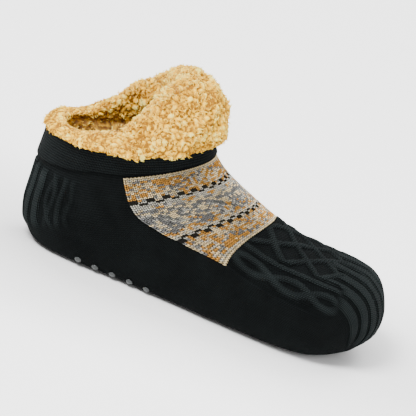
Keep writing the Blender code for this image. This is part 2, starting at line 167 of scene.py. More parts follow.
def rings():
    """Every section in metres, its heights measured from the sole."""
    found = []

    def add(row, front_height, back_height, width, bow=0.0, dip=0.0):
        found.append(Section(
            row[0] * FOOT_LENGTH, front_height, row[2] * FOOT_LENGTH, row[3] * back_height, width / 2,
            *row[5:8], bow, dip,
        ))

    for index, row in enumerate(LEG_SECTIONS):
        add(row, between(INSTEP_HEIGHT, COLLAR_FRONT_HEIGHT, row[1]), COLLAR_BACK_HEIGHT,
            between(HEEL_WIDTH, COLLAR_WIDTH, row[4]),
            dip=COLLAR_SIDE_DIP * (1 - index / len(LEG_SECTIONS)) ** 2)
    for row in VAMP_SECTIONS:
        add(row, between(TOE_HEIGHT, INSTEP_HEIGHT, row[1]), TOE_HEIGHT,
            between(HEEL_WIDTH, BALL_WIDTH, row[4]))
    for row in TOE_SECTIONS:
        add(row, row[1] * TOE_HEIGHT, TOE_HEIGHT, row[4] * BALL_WIDTH, bow=row[8] * FOOT_LENGTH)
    return np.array(found)


RINGS = rings()
LAST_RING = len(RINGS) - 1
LEG_RINGS = len(LEG_SECTIONS)
# Where the inside of the knit and the lining are closed, short of the seam
INNER_END = LAST_RING - 0.45


def through(rows, at):
    """Rows of numbers read between their own places on a smooth curve through them."""
    at = np.clip(np.asarray(at, float), 0, len(rows) - 1)
    low = np.minimum(at.astype(int), len(rows) - 2)
    share = (at - low)[..., None]
    before, start, end = rows[np.maximum(low - 1, 0)], rows[low], rows[low + 1]
    after = rows[np.minimum(low + 2, len(rows) - 1)]
    leave = np.where((low == 0)[..., None], end - start, (end - before) / 2)
    arrive = np.where((low == len(rows) - 2)[..., None], end - start, (after - start) / 2)
    square, cube = share ** 2, share ** 3
    return (
        (2 * cube - 3 * square + 1) * start + (cube - 2 * square + share) * leave
        + (3 * square - 2 * cube) * end + (cube - square) * arrive
    )


def signed_power(value, power):
    return np.sign(value) * np.abs(value) ** power


def ramp(value, start, end):
    """0 up to the start and 1 from the end on, with a smooth rise between them."""
    share = np.clip((value - start) / (end - start), 0, 1)
    return share * share * (3 - 2 * share)


def fade(value, start, end):
    """1 up to the start and 0 from the end on, the other way round from a ramp."""
    return 1 - ramp(value, start, end)


def settle(height):
    """A height over the sole, with what is lower pressed flat and softly rounded where the flat begins."""
    rounded = (height + SOLE_ROUNDING) ** 2 / (4 * SOLE_ROUNDING)
    pressed = np.where(height < -SOLE_ROUNDING, 0.0, np.where(height < SOLE_ROUNDING, rounded, height))
    return pressed + SOLE_LIFT


def inset_rings(depth):
    """The sections of a surface that lies this deep inside the outer one, short of the seam."""
    made = RINGS[:-1].copy()
    places = np.arange(LAST_RING, dtype=float)
    made[:, 0:2] -= normals(places, 0.0)[:, [0, 2]] * depth
    made[:, 2:4] -= normals(places, HALF_TURN)[:, [0, 2]] * depth
    made[:, 4] -= depth
    return made


def surface(ring, turn, depth=0.0):
    """Points of the smooth outer surface of the knit, or of one that lies inside it."""
    ring, turn = np.broadcast_arrays(np.asarray(ring, float), np.asarray(turn, float))
    sections = inset_rings(depth) if depth else RINGS
    row = Section(*np.moveaxis(through(sections, ring), -1, 0))
    ahead, aside = np.cos(turn), np.sin(turn)
    on_front = ahead >= 0
    power = 2 / np.where(on_front, row.top_power, row.back_power)
    room = np.where(on_front, 1 - row.belly, row.belly)
    along = row.belly + room * signed_power(ahead, power)
    lateral = signed_power(aside, power)
    x = between(row.back_x, row.front_x, along) - row.bow * np.abs(lateral) ** BOW_POWER
    y = row.half_width * lateral
    z = between(row.back_z, row.front_z, along) - row.dip * aside ** 2
    return np.stack([x, y, settle(z - depth) + depth], axis=-1)


def unit(vectors):
    return vectors / np.maximum(np.linalg.norm(vectors, axis=-1, keepdims=True), 1e-12)


def normals(ring, turn):
    """Unit normals of the outer surface, pointing out."""
    ring, turn = np.broadcast_arrays(np.asarray(ring, float), np.asarray(turn, float))
    low = np.clip(ring - RING_STEP, 0, LAST_RING - RING_STEP / 2)
    high = np.clip(ring + RING_STEP, RING_STEP, LAST_RING)
    down = surface(high, turn) - surface(low, turn)
    around = surface(ring, turn + TURN_STEP) - surface(ring, turn - TURN_STEP)
    return unit(np.cross(down, around))


def offset(ring, turn, outward):
    """Points at a distance from the outer surface, measured square to it."""
    return surface(ring, turn) + normals(ring, turn) * np.asarray(outward)[..., None]


def below_collar(turn, depth):
    """The ring that lies this far down the cloth from the collar."""
    first = np.linalg.norm(surface(1.0, turn) - surface(0.0, turn), axis=-1)
    second = np.linalg.norm(surface(2.0, turn) - surface(1.0, turn), axis=-1)
    depth = np.broadcast_to(depth, first.shape)
    return np.where(depth < first, depth / first, 1 + (depth - first) / second)


def even_turns(count):
    """Turns evenly round a ring, from the front line on."""
    return np.arange(count) * 2 * HALF_TURN / count


def running(points, axis):
    """Length along a row or column of points, from 0 at its first."""
    steps = np.linalg.norm(np.diff(points, axis=axis), axis=-1)
    start = np.zeros_like(np.take(steps, [0], axis=axis))
    return np.concatenate([start, np.cumsum(steps, axis=axis)], axis=axis)


def even_rings(count, first, last, back_share):
    """Places of rings that lie evenly down the cloth, judged by its front line and a share of its back."""
    fine = np.linspace(first, last, num=1500)
    length = running(surface(fine, 0.0), 0) + back_share * running(surface(fine, HALF_TURN), 0)
    return np.interp(np.linspace(0, length[-1], count), length, fine)


def inner_rings(count):
    """Places of rings for an inside that isn't seen, and of the one that closes it."""
    return np.append(np.linspace(0, LAST_RING - 1, count), INNER_END)


# Meshes from arrays


def tube_faces(rows, columns, joined=False):
    """Quads of a tube, facing out, and with its last row joined to its first where that is asked for."""
    row = np.arange(rows if joined else rows - 1)[:, None] * columns
    below = (row + columns) % (rows * columns)
    left = np.arange(columns)[None, :]
    right = (left + 1) % columns
    return np.stack([row + left, below + left, below + right, row + right], axis=-1).reshape(-1, 4)


def fan(loop, tip):
    """Triangles from a loop to one point."""
    return np.stack([loop, np.full(len(loop), tip), np.roll(loop, -1)], axis=-1)


def prism_quads(first, rows):
    """Quads of a strand with three sides, whose first row of points starts at this number."""
    quads = []
    for start in range(first, first + 3 * (rows - 1), 3):
        for side in range(3):
            after = (side + 1) % 3
            quads.append((start + side, start + after, start + 3 + after, start + 3 + side))
    return quads


def repeated(groups, each, count):
    """Faces of many like strands, from the groups of faces of one and its number of points."""
    starts = (np.arange(count) * each)[:, None, None]
    return [(np.array(group)[None] + starts).reshape(-1, len(group[0])) for group in groups]


def build_mesh(name, points, faces, finish, uv=None, attributes=None):
    """One object from an array of points and a list of arrays of faces."""
    mesh = bpy.data.meshes.new(name)
    points = np.asarray(points, float).reshape(-1, 3) + SHIFT
    corners = np.concatenate([np.asarray(group).ravel() for group in faces]).astype(np.int32)
    sizes = np.concatenate([np.full(len(group), group.shape[1]) for group in faces])
    starts = np.concatenate([[0], np.cumsum(sizes)[:-1]]).astype(np.int32)
    mesh.vertices.add(len(points))
    mesh.vertices.foreach_set("co", points.astype(np.float32).ravel())
    mesh.loops.add(len(corners))
    mesh.loops.foreach_set("vertex_index", corners)
    mesh.polygons.add(len(sizes))
    mesh.polygons.foreach_set("loop_start", starts)
    mesh.update(calc_edges=True)
    for label, values in (attributes or {}).items():
        values = np.asarray(values, np.float32)
        kind, field = ("FLOAT_COLOR", "color") if values.ndim == 2 else ("FLOAT", "value")
        mesh.attributes.new(label, kind, "POINT").data.foreach_set(field, values.ravel())
    if uv is not None:
        layer = mesh.uv_layers.new(name="stitches")
        layer.uv.foreach_set("vector", np.asarray(uv, np.float32).ravel())
    mesh.shade_smooth()
    for made in finish if isinstance(finish, (list, tuple)) else [finish]:
        mesh.materials.append(made)
    piece = bpy.data.objects.new(name, mesh)
    bpy.context.collection.objects.link(piece)
    return piece


def dress(piece, slot, *nodes):
    """Says what body a piece rides on and which solids it stands for; its slot is not used."""
    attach(piece, "root")
    if nodes:
        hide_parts(*nodes)


# Shaders

# Slant of the two sides of a stitch, in the plain knit and in the band
PLAIN_SLANT = 0.55
BAND_SLANT = 0.35


class Wire:
    """A shader socket. Python's operators on it add Math nodes."""

    def __init__(self, paint, socket):
        self.paint, self.socket = paint, socket

    def maths(self, operation, *values):
        return self.paint.node("ShaderNodeMath", {"operation": operation}, dict(enumerate(values)))

    def __add__(self, other):
        return self.maths("ADD", self, other)

    def __sub__(self, other):
        return self.maths("SUBTRACT", self, other)

    def __rsub__(self, other):
        return self.maths("SUBTRACT", other, self)

    def __mul__(self, other):
        return self.maths("MULTIPLY", self, other)

    def __pow__(self, other):
        return self.maths("POWER", self, other)

    def __abs__(self):
        return self.maths("ABSOLUTE", self)

    __radd__, __rmul__ = __add__, __mul__

    def fraction(self):
        return self.maths("FRACT", self)

    def sine(self):
        return self.maths("SINE", self)

    def highest(self, other):
        return self.maths("MAXIMUM", self, other)


class Paint:
    """The nodes of one material."""

    def __init__(self, name, **fixed):
        self.material = bpy.data.materials.new(name)
        self.material.use_nodes = True
        self.tree = self.material.node_tree
        self.shader = self.tree.nodes["Principled BSDF"]
        for label, value in fixed.items():
            self.shader.inputs[label.replace("_", " ")].default_value = value

    def node(self, kind, settings=None, inputs=None, out=0):
        made = self.tree.nodes.new(kind)
        for label, value in (settings or {}).items():
            if label == "stops":
                self.set_stops(made.color_ramp, value)
            else:
                setattr(made, label, value)
        for label, value in (inputs or {}).items():
            self.connect(value, made.inputs[label])
        return Wire(self, made.outputs[out])

    def set_stops(self, colour_ramp, stops):
        while len(colour_ramp.elements) < len(stops):
            colour_ramp.elements.new(0.5)
        for element, (place, colour) in zip(colour_ramp.elements, stops):
            element.position = place
            element.color = (*colour, 1.0)

    def connect(self, value, socket):
        if isinstance(value, Wire):
            self.tree.links.new(value.socket, socket)
        else:
            socket.default_value = value

    def set(self, label, value):
        self.connect(value, self.shader.inputs[label])

    def noise(self, scale, detail=2.0, roughness=0.5):
        inputs = {"Scale": scale, "Detail": detail, "Roughness": roughness, "Vector": self.place()}
        return self.node("ShaderNodeTexNoise", None, inputs)

    def place(self):
        return self.node("ShaderNodeTexCoord", out="Object")

    def measure(self, label, out="Fac"):
        return self.node("ShaderNodeAttribute", {"attribute_name": label}, out=out)

    def ramp(self, level, *stops):
        return self.node("ShaderNodeValToRGB", {"stops": stops}, {0: level})

    def blend(self, share, first, second):
        inputs = {"Factor": share, "A": first, "B": second}
        made = self.tree.nodes.new("ShaderNodeMix")
        made.data_type = "RGBA"
        for label, value in inputs.items():
            socket = next(s for s in made.inputs if s.name == label and s.enabled)
            if not isinstance(value, Wire) and label != "Factor":
                value = (*value[:3], 1.0)
            self.connect(value, socket)
        return Wire(self, next(s for s in made.outputs if s.enabled))

    def bump(self, height, distance, strength=1.0):
        self.set("Normal", self.node("ShaderNodeBump", None, {
            "Height": height, "Distance": distance, "Strength": strength,
        }, "Normal"))


def stitch_height(paint, slant):
    """Height of plain knitting: two slanting lobes a stitch, from the stitch coordinates of the mesh."""
    place = paint.node("ShaderNodeUVMap", {"uv_map": "stitches"}, out="UV")
    wobble = paint.noise(260.0, 2.0) - 0.5
    across, down = (
        paint.node("ShaderNodeSeparateXYZ", None, {0: place}, axis) + wobble * sway
        for axis, sway in (("X", 0.16), ("Y", 0.22))
    )
    side = abs(across.fraction() - 0.5) * 2
    lobe = (side * math.pi).sine().highest(0.0) ** 0.6
    strand = abs(((down + side * slant) * math.pi).sine()) ** 0.7
    return lobe * (strand * 0.7 + 0.3)


def knit_finish(name, colour, highlight, slant=PLAIN_SLANT):
    """Dark fuzzy yarn: stitches, loose fibres, painted shade in hollows and a painted highlight on what is
    raised.
    """
    paint = Paint(name, Sheen_Weight=0.015, Sheen_Roughness=0.4, Specular_IOR_Level=0.04)
    paint.shader.inputs["Sheen Tint"].default_value = (0.72, 0.88, 0.92, 1.0)
    height = stitch_height(paint, slant)
    patches = paint.noise(38.0, 3.0)
    fibres = paint.noise(2600.0, 3.0, 0.6)
    raised = paint.measure("raised")
    # Painted light: stitch crowns and raised relief are painted towards the highlight and hollows towards a
    # dark shade; patches and fibres vary the tone at random
    shade = height * 0.70 + raised * 0.34 + (patches - 0.5) * 0.40 + (fibres - 0.5) * 0.30 - 0.12
    hollow = tuple(part * 0.25 for part in colour)
    paint.set("Base Color", paint.ramp(shade, (0.08, hollow), (0.45, colour), (0.95, highlight)))
    paint.set("Roughness", 0.92 - height * 0.14)
    paint.bump(height + fibres * 0.22, 0.0016)
    return paint.material


# The relief of the knitting

DIAMOND_WIDTH = 21.6 * MM
DIAMOND_LENGTH = 22.5 * MM
LATTICE_ROWS = 2.5
CORD_HALF = 2.5 * MM
RIB_PITCH = DIAMOND_WIDTH / 2
RIB_HALF = 3.6 * MM


def dome(distance, half):
    """A rounded ridge: 1 on its line, 0 at its foot."""
    return np.sqrt(np.clip(1 - (distance / half) ** 2, 0, 1))


def nearest(value):
    """Distance to the nearest whole number."""
    return np.abs(value - np.round(value))


def ribs(across, pitch, half, slope=1.5 * MM):
    """Flat-topped ribs side by side."""
    return fade(nearest(across / pitch) * pitch, half - slope / 2, half + slope / 2 + 0.3 * MM)


def chain(across, along, middle, swing, length, half):
    """Two cords that swing out and cross again and again, and the hollows between them."""
    phase = HALF_TURN * along / length
    slope = HALF_TURN * swing / length * np.cos(phase)
    lean = np.sqrt(1 + slope ** 2)
    first = dome((across - middle - swing * np.sin(phase)) / lean, half)
    second = dome((across - middle + swing * np.sin(phase)) / lean, half)
    over = 0.5 + 0.5 * np.cos(phase)
    hollow = np.clip(1 - np.abs(across - middle) / swing, 0, 1) * np.sin(phase) ** 2
    return np.maximum(first * (0.8 + 0.3 * over), second * (1.1 - 0.3 * over)) - 0.35 * hollow


def rope(across, along, middle, half, twist):
    """A narrow straight cord with slanting notches."""
    body = dome(across - middle, half)
    return body * (0.80 + 0.20 * np.abs(np.sin(HALF_TURN * (along + (across - middle) * 0.9) / twist)))


def toe_relief(across, along):
    """Lattice, arches and ribs on the top of the toe, with a rope and a chain beside them."""
    end = LATTICE_ROWS * DIAMOND_LENGTH
    zigzag = end - DIAMOND_LENGTH / 2 * (2 * nearest(across / DIAMOND_WIDTH))
    from_edge = along - zigzag
    lattice_along = (along + DIAMOND_LENGTH / 2) / DIAMOND_LENGTH
    first = across / DIAMOND_WIDTH + lattice_along
    second = across / DIAMOND_WIDTH - lattice_along
    square_on = 1 / math.hypot(1 / DIAMOND_WIDTH, 1 / DIAMOND_LENGTH)
    over = np.where((np.round(first) + np.round(second)) % 2 == 0, 1.0, 0.82)
    cords = np.maximum(
        dome(nearest(first) * square_on, CORD_HALF) * over,
        dome(nearest(second) * square_on, CORD_HALF) * (1.82 - over),
    )
    side = np.abs(across)
    lattice_edge = 1.5 * DIAMOND_WIDTH
    lattice = cords * fade(from_edge, CORD_HALF * 0.8, CORD_HALF * 1.5)
    lattice = lattice * fade(side, lattice_edge - 1 * MM, lattice_edge + 1 * MM)
    ribbed = ribs(across, RIB_PITCH, RIB_HALF) * ramp(from_edge, 1.2 * MM, 4.5 * MM)
    ribbed = ribbed * fade(side, 4.4 * RIB_PITCH, 4.6 * RIB_PITCH)
    # Outside the lattice the ribs start where rope and chain end
    late = ramp(along, end + 2 * MM, end + 9 * MM)
    ribbed = np.where(side > lattice_edge, ribbed * late, ribbed)
    early = fade(along, end + 1 * MM, end + 8 * MM)
    beside = rope(side, along, middle=36.5 * MM, half=2.3 * MM, twist=3.0 * MM)
    linked = chain(side, along, middle=48.0 * MM, swing=4.6 * MM, length=21 * MM, half=2.7 * MM)
    return np.maximum(np.maximum(lattice, ribbed), np.maximum(beside, linked) * early)


def heel_relief(across, down):
    """Seven ribs down the back of the heel, with a chain, a rope and a wavy rope on each rear quarter."""
    side = np.abs(across)
    ribbed = ribs(across, pitch=9.6 * MM, half=3.2 * MM) * fade(side, 33.0 * MM, 34.0 * MM)
    linked = chain(side, down - 5 * MM, middle=40.5 * MM, swing=2.9 * MM, length=27 * MM, half=2.3 * MM)
    twisted = rope(side, down, middle=49.0 * MM, half=2.4 * MM, twist=3.0 * MM)
    wave = 1.5 * MM * np.sin(down / (4 * MM))
    wavy = rope(side + wave, down, middle=56.5 * MM, half=2.3 * MM, twist=3.0 * MM)
    return np.maximum(np.maximum(ribbed, linked * 0.75), np.maximum(twisted * 0.8, wavy * 0.55))


# Folds placed in the side view: points from the heel's end and the sole, depth and half width
Fold = namedtuple("Fold", "points depth half")
FOLDS = (
    Fold(((60, 72), (74, 60), (80, 48)), 1.1, 5.0),
    Fold(((48, 70), (58, 55), (72, 42), (92, 34)), 1.3, 6.0),
    Fold(((40, 44), (60, 34), (84, 27)), 0.9, 6.0),
    Fold(((96, 40), (120, 30), (146, 24)), 1.0, 6.0),
    Fold(((20, 17), (38, 22), (60, 20)), 0.8, 5.0),
    Fold(((176, 30), (200, 24), (226, 22)), 0.9, 5.0),
)


def fold_depth(points):
    """How deep the listed folds press in the cloth."""
    flat = points[..., [0, 2]]
    found = np.zeros(flat.shape[:-1])
    for fold in FOLDS:
        line = np.array(fold.points) * MM
        nearest_place = np.full(found.shape, np.inf)
        for start, end in zip(line[:-1], line[1:]):
            span = end - start
            share = np.clip(((flat - start) @ span) / (span @ span), 0, 1)[..., None]
            gap = np.linalg.norm(flat - start - share * span, axis=-1)
            nearest_place = np.minimum(nearest_place, gap)
        found = found + fold.depth * MM * np.exp(-(nearest_place / (fold.half * MM)) ** 2)
    return found


def uneven(points, size, seed):
    """Slow swells of hand-stretched cloth, between -1 and 1."""
    x, y, z = np.moveaxis(points / size, -1, 0)
    return (
        np.sin(2.1 * x + 1.3 * np.sin(1.7 * y + seed)) * np.cos(1.9 * z + seed)
        + 0.6 * np.sin(3.7 * x - 2.9 * z + 2.3 * y + 2 * seed)
    ) / 1.6


# The panel

PANEL_COLUMNS = 72
# How far round the panel reaches in degrees, by the share of its length
PANEL_TURNS = ((0.0, 83.0), (0.18, 80.0), (0.42, 76.0), (0.56, 72.0), (0.72, 69.0), (1.0, 68.0))
# The turn in degrees that counts as its side for the knit under it
PANEL_REACH = 84.0
# Rings of its top and bottom edges, in the middle and at the side
PANEL_TOP = (1.24, 1.42)
PANEL_BOTTOM = (6.20, 7.45)


def fold_out(half):
    """A mirrored repeat from its first half: the middle stitch first, the outermost last."""
    return half + half[-2:0:-1]


# Rows of the panel from the collar down, each a repeat that starts at the middle stitch
# C is cream, T mostly tan, G mostly grey, L light grey, K black, H tan and cream, M greys and cream
TRIANGLES = tuple(fold_out(half) for half in (
    "TTTTTTTTTGGHH", "TTTTTTTGGHHHH", "TTTTTGGHHHHTT", "TTTGGHHHHHHHT", "TGGHHHHTHHHHH", "GGHHHTHHHHTHH",
))
CHART = (
    ("C", "CL") + TRIANGLES + ("HHHTHHCH", "HTHHCHHH", "HHHHTHHC")
    + ("KKHH", "KKHL", "LLKK", "L", "TTTTLLLL", "LTTLLCLL", "GGGCCGGG", "GCCGGCCG", "CGGGGGGC")
    + ("GGGGGGGG", "GGCCGGGG", "GGCCGGMG", "GGCCGGGG", "GGMGGGMG", "M", "M", "M", "M")
    + ("MMMTTMMM", "MMTTTTMM", "MTTLLTTM", "CL", "LLKK", "KKLH", "KKHH")
    + ("HHHTHHCH", "HTHHCHHH", "HHHHTHHC", "HHTHHHHC") + TRIANGLES[::-1] + ("CL", "C")
)
YARNS = {
    "C": (0.86, 0.68, 0.38),
    "T": (0.64, 0.30, 0.050),
    "G": (0.20, 0.205, 0.205),
    "L": (0.56, 0.54, 0.46),
    "K": (0.003, 0.003, 0.003),
}
# What the mixed letters stand for, picked by chance for every stitch
MIXED_YARNS = {"H": "TCCTLCTG", "M": "GLCGLGGT", "T": "TTTCTTTGTC", "G": "GGLGGGC"}


def panel_edges(column):
    """Rings of the panel's top and bottom edges, which lie lower towards its sides."""
    return between(*PANEL_TOP, column ** 2), between(*PANEL_BOTTOM, column ** 2)


def panel_side(row):
    """Turn at which the panel ends at a row."""
    shares, angles = zip(*PANEL_TURNS)
    return np.radians(np.interp(row, shares, angles))


def panel_place(column, row):
    """Ring and turn of a place on the panel: column from -1 to 1 across it, row from 0 to 1 down it."""
    # Rows lie evenly down the cloth rather than evenly in rings
    fine = np.linspace(PANEL_TOP[0], PANEL_BOTTOM[0], num=200)
    length = running(surface(fine, 0.5), 0)
    share = np.interp(row * length[-1], length, (fine - fine[0]) / (fine[-1] - fine[0]))
    return between(*panel_edges(column), share), column * panel_side(row)


def panel_mask(ring, turn):
    """1 under the panel, 0 outside it."""
    top, bottom = panel_edges(np.clip(np.abs(turn) / math.radians(PANEL_REACH), 0, 1.2))
    row = np.clip((ring - top) / (bottom - top), 0, 1)
    return (ring > top) & (ring < bottom) & (np.abs(turn) < panel_side(row))


# Fleece

Curls = namedtuple("Curls", "swell middle tone")
# How soon a curl is full beside the valley round it, and the share of its height that is below the cloth
CURL_ROUNDNESS = 3.4
CURL_SUNK = 0.35
# Rows of three points in a lock below its tip, and how deep it is rooted
LOCK_ROWS = 3
LOCK_ROOT_DEPTH = 0.0004
# What the painted depth of the fleece's copies for shaded places pales towards
PALE_DEPTH = 0.6


def curls_over(points, spacing, seed):
    """Round curls side by side: how far each point swells, the middle of its curl and that curl's tone."""
    chance = np.random.default_rng(seed)
    shuffled = chance.permutation(len(points))
    cells = np.floor(points[shuffled] / spacing).astype(np.int64)
    _, first = np.unique(cells, axis=0, return_index=True)
    middles = points[shuffled[first]]
    tones = chance.uniform(0, 1, len(middles))
    tree = KDTree(len(middles))
    for index, middle in enumerate(middles):
        tree.insert(middle, index)
    tree.balance()
    pairs = [tree.find_n(point, 2) for point in points]
    nearest_one = np.array([pair[0][1] for pair in pairs])
    valley = np.array([pair[1][2] - pair[0][2] for pair in pairs]) / spacing
    return Curls(1 - np.exp(-CURL_ROUNDNESS * valley), middles[nearest_one], tones[nearest_one])


def point_normals(points, faces):
    """Unit normals at the points of a mesh of quads."""
    first, second, third, fourth = (points[faces[:, corner]] for corner in range(4))
    across = np.cross(third - first, fourth - second)
    total = np.zeros_like(points)
    for corner in range(4):
        np.add.at(total, faces[:, corner], across)
    return unit(total)


def curly_locks(base, up, curls, length, thickness, seed):
    """Small hooked locks, one to a point, bent away round their curls: points, faces, pile and shade."""
    chance = np.random.default_rng(seed)
    count = len(base)
    away = unit(base - curls.middle) * 1.2 + chance.normal(size=(count, 3)) * 0.7
    level = unit(away - up * np.sum(away * up, axis=-1, keepdims=True))
    turn_axis = np.cross(up, level)
    reach = length * chance.uniform(0.6, 1.3, count)
    bend = chance.uniform(1.0, 3.4, count)
    lean = chance.uniform(0.2, 0.8, count)
    radius = thickness * chance.uniform(0.7, 1.3, count)
    place = base - up * LOCK_ROOT_DEPTH
    rows = []
    for step in range(LOCK_ROWS + 1):
        share = step / LOCK_ROWS
        angle = lean + bend * share
        heading = up * np.cos(angle)[:, None] + level * np.sin(angle)[:, None]
        if step:
            place = place + heading * (reach / LOCK_ROWS)[:, None]
        if step == LOCK_ROWS:
            rows.append(place)
            continue
        square = np.cross(heading, turn_axis)
        wide = (radius * (1 - 0.55 * share))[:, None]
        for side in range(3):
            spin = 2 * HALF_TURN * side / 3
            rows.append(place + wide * (turn_axis * math.cos(spin) + square * math.sin(spin)))
    each = len(rows)
    made = np.stack(rows, axis=1).reshape(-1, 3)
    heights = np.append(np.repeat(np.arange(LOCK_ROWS) / LOCK_ROWS, 3), 1.0)
    # Pile paints shade at a lock's root and in the valleys between curls, and a highlight at its tip and on
    # the curls' tops
    pile = (0.42 * heights + 0.58 * curls.swell[:, None]).ravel()
    shade = np.repeat(0.65 * curls.tone + 0.35 * chance.uniform(0, 1, count), each)
    last = 3 * (LOCK_ROWS - 1)
    ends = [(2, 1, 0)] + [(last + side, last + (side + 1) % 3, each - 1) for side in range(3)]
    return made, repeated((prism_quads(0, LOCK_ROWS), ends), each, count), pile, shade


def by_area(points, part, count, seed, favour=1.0):
    """Points of a grid picked in proportion to the cloth round them, and more often where favoured."""
    grid = points[part]
    tall = np.linalg.norm(np.gradient(grid, axis=0), axis=-1)
    wide = np.linalg.norm(np.gradient(grid, axis=1), axis=-1)
    area = (tall * wide * favour).ravel()
    chance = np.random.default_rng(seed)
    return part.ravel()[chance.choice(area.size, count, p=area / area.sum())]


def add_pile(name, points, up, curls, chosen, sizes, finish, seed):
    """One mesh of locks that stand on the chosen points."""
    own = Curls(*(field[chosen] for field in curls))
    made, faces, pile, shade = curly_locks(
        points[chosen], up[chosen], own, sizes.lock, sizes.lock_width / 2, seed)
    dress(build_mesh(name, made, faces, finish, attributes={"pile": pile, "shade": shade}), "cream_fleece")


def fleece_finish(name, sizes, paler=0.0):
    """Curly fleece: painted shade, warm and dark, in its depth and a painted highlight at its tips; copies
    for shaded places have a paler depth.
    """
    deep, middle, tip = (
        tuple(between(part, PALE_DEPTH, share) for part in colour)
        for colour, share in ((sizes.deep, 2 * paler), (sizes.middle, paler), (sizes.tip, 0.0))
    )
    paint = Paint(name, Roughness=0.9, Sheen_Weight=0.08, Sheen_Roughness=0.5, Specular_IOR_Level=0.08)
    paint.shader.inputs["Sheen Tint"].default_value = (1.0, 0.86, 0.55, 1.0)
    pile, shade = paint.measure("pile"), paint.measure("shade")
    patches = paint.noise(60.0, 3.0)
    fibres = paint.noise(1900.0, 4.0, 0.65)
    # The pile's height paints shade low between the curls and a highlight at their tips; the shade
    # attribute, patches and fibres vary the tone at random
    level = pile * 0.95 + (patches - 0.5) * 0.30 + (shade - 0.5) * 0.42 + (fibres - 0.5) * 0.25
    paint.set("Base Color", paint.ramp(level, (0.14, deep), (0.48, middle), (0.80, tip)))
    paint.bump(fibres, 0.0005, 0.8)
    return paint.material


# Settings that a user would change


def length_field(name, description, default, least=0.0005):
    return FloatProperty(
        name=name, description=description, default=default, min=least, unit="LENGTH", subtype="DISTANCE")


def angle_field(name, description, degrees):
    return FloatProperty(
        name=name, description=description, default=math.radians(degrees), unit="ROTATION", subtype="ANGLE")


def colour_field(name, description, default):
    return FloatVectorProperty(
        name=name, description=description, default=default, min=0.0, max=1.0, subtype="COLOR")


class SlipperSockKnit(bpy.types.PropertyGroup):
    wale: length_field("Stitch width", "Width of one stitch of the knit", 0.0022)
    course: length_field("Stitch height", "Height of one row of stitches", 0.0018)
    relief: length_field("Relief", "How far ribs and cables stand out of the plain knit", 0.0021, 0.0)
    colour: colour_field("Yarn colour", "Colour of the black yarn", (0.0024, 0.0032, 0.0032))
    # The highlight is painted on stitch crowns and raised relief
    highlight: colour_field("Yarn highlight", "Colour of the yarn where raised", (0.026, 0.034, 0.034))


class SlipperSockPanel(bpy.types.PropertyGroup):
    thickness: length_field("Yarn thickness", "How far a stitch of the panel stands out", 0.0007, 0.0001)
    unevenness: FloatProperty(
        name="Unevenness", description="How much the yarn's colour varies by the stitch", default=0.36,
        min=0.0, max=1.0, subtype="FACTOR")


class SlipperSockFleece(bpy.types.PropertyGroup):
    curl: length_field("Curl size", "Distance between the middles of two curls", 0.0043, 0.001)
    height: length_field("Curl height", "How far a curl stands out", 0.0027, 0.0)
    lock: length_field("Lock length", "Length of one small lock of pile", 0.0026)
    lock_width: length_field("Lock width", "Width of one small lock at its root", 0.0009, 0.0001)
    locks: IntProperty(
        name="Locks", description="Locks of pile on the outside of the cuff", default=11500, min=100)
    # The deep colour is the painted shade between the curls, the tip colour a painted highlight
    deep: colour_field("Deep colour", "Colour between the curls", (0.33, 0.14, 0.010))
    middle: colour_field("Pile colour", "Colour of the pile", (0.95, 0.52, 0.024))
    tip: colour_field("Tip colour", "Colour of the tips", (1.0, 0.92, 0.25))


class SlipperSockGrip(bpy.types.PropertyGroup):
    diameter: length_field("Dot diameter", "Diameter of one silicone dot", 0.0052, 0.001)
    height: length_field("Dot height", "How far a dot stands out of the sole", 0.0012, 0.0001)


class SlipperSockStage(bpy.types.PropertyGroup):
    azimuth: angle_field("Azimuth", "Turn of the camera round the sock", 5)
    elevation: angle_field("Elevation", "Height of the camera over the floor", 20)
    roll: angle_field("Roll", "Lean of the camera", 19)
    distance: length_field("Distance", "From the camera to the middle of the sock", 2.40, 0.1)
    floor: colour_field("Floor colour", "Colour of the floor", (0.94, 0.94, 0.94))


# Builders

# Points down and round each mesh, and round each dot
KNIT_ROWS = 300
KNIT_COLUMNS = 300
BAND_COLUMNS = 360
CUFF_ROWS = 104
CUFF_COLUMNS = 400
LINING_ROWS = 140
LINING_COLUMNS = 168
DOT_SIDES = 16
DOT_LEVELS = 5
# How far the dots stand off the smooth sole
DOT_GAP = 0.0001
# Depth of the slow swells of the knit, the band and the cuff
KNIT_SWELL = 0.45 * MM
BAND_SWELL = 0.0003
CUFF_SWELL = 0.0022
# Rise of the cuff at which its curls reach their full height, and the least share of it
CUFF_FULL_RISE = 0.012
LEAST_CURL = 0.35
# Locks inside the cuff and in the lining, as a share of those outside
INSIDE_SHARE = 0.8
# Rings of the lining that are seen through the mouth, and those near it, which have more locks
SEEN_RING = 6.5
MOUTH_RING = 2
MOUTH_FAVOUR = 3.0

# One side of a panel stitch from the middle below to the outer edge above: places in stitch widths and
# heights, how far it stands out and how thick it is
STITCH_LINE = (
    (0.05, -0.56, 0.0, 0.0),
    (0.13, -0.32, 0.75, 0.80),
    (0.27, 0.05, 1.0, 1.0),
    (0.37, 0.42, 0.8, 0.85),
    (0.42, 0.68, 0.1, 0.0),
)
# Half its width in stitch widths, its thickness in yarn thicknesses, its lean in stitch heights, how far it
# lies off the knit under it and how much it strays sideways in stitch widths
STITCH_HALF = 0.155
STITCH_THICK = 0.85
STITCH_LEAN = 0.10
STITCH_LIFT = 0.00035
STITCH_SWAY = 0.03
# Painted shading along it: darker at its ends, where it dives under its neighbours, and on its sides, with a
# painted highlight along its top: its end, three rows of three points and its other end
STITCH_PAINTED_SHADING = (0.12, 0.40, 0.66, 0.40, 0.70, 1.20, 0.70, 0.40, 0.66, 0.40, 0.12)
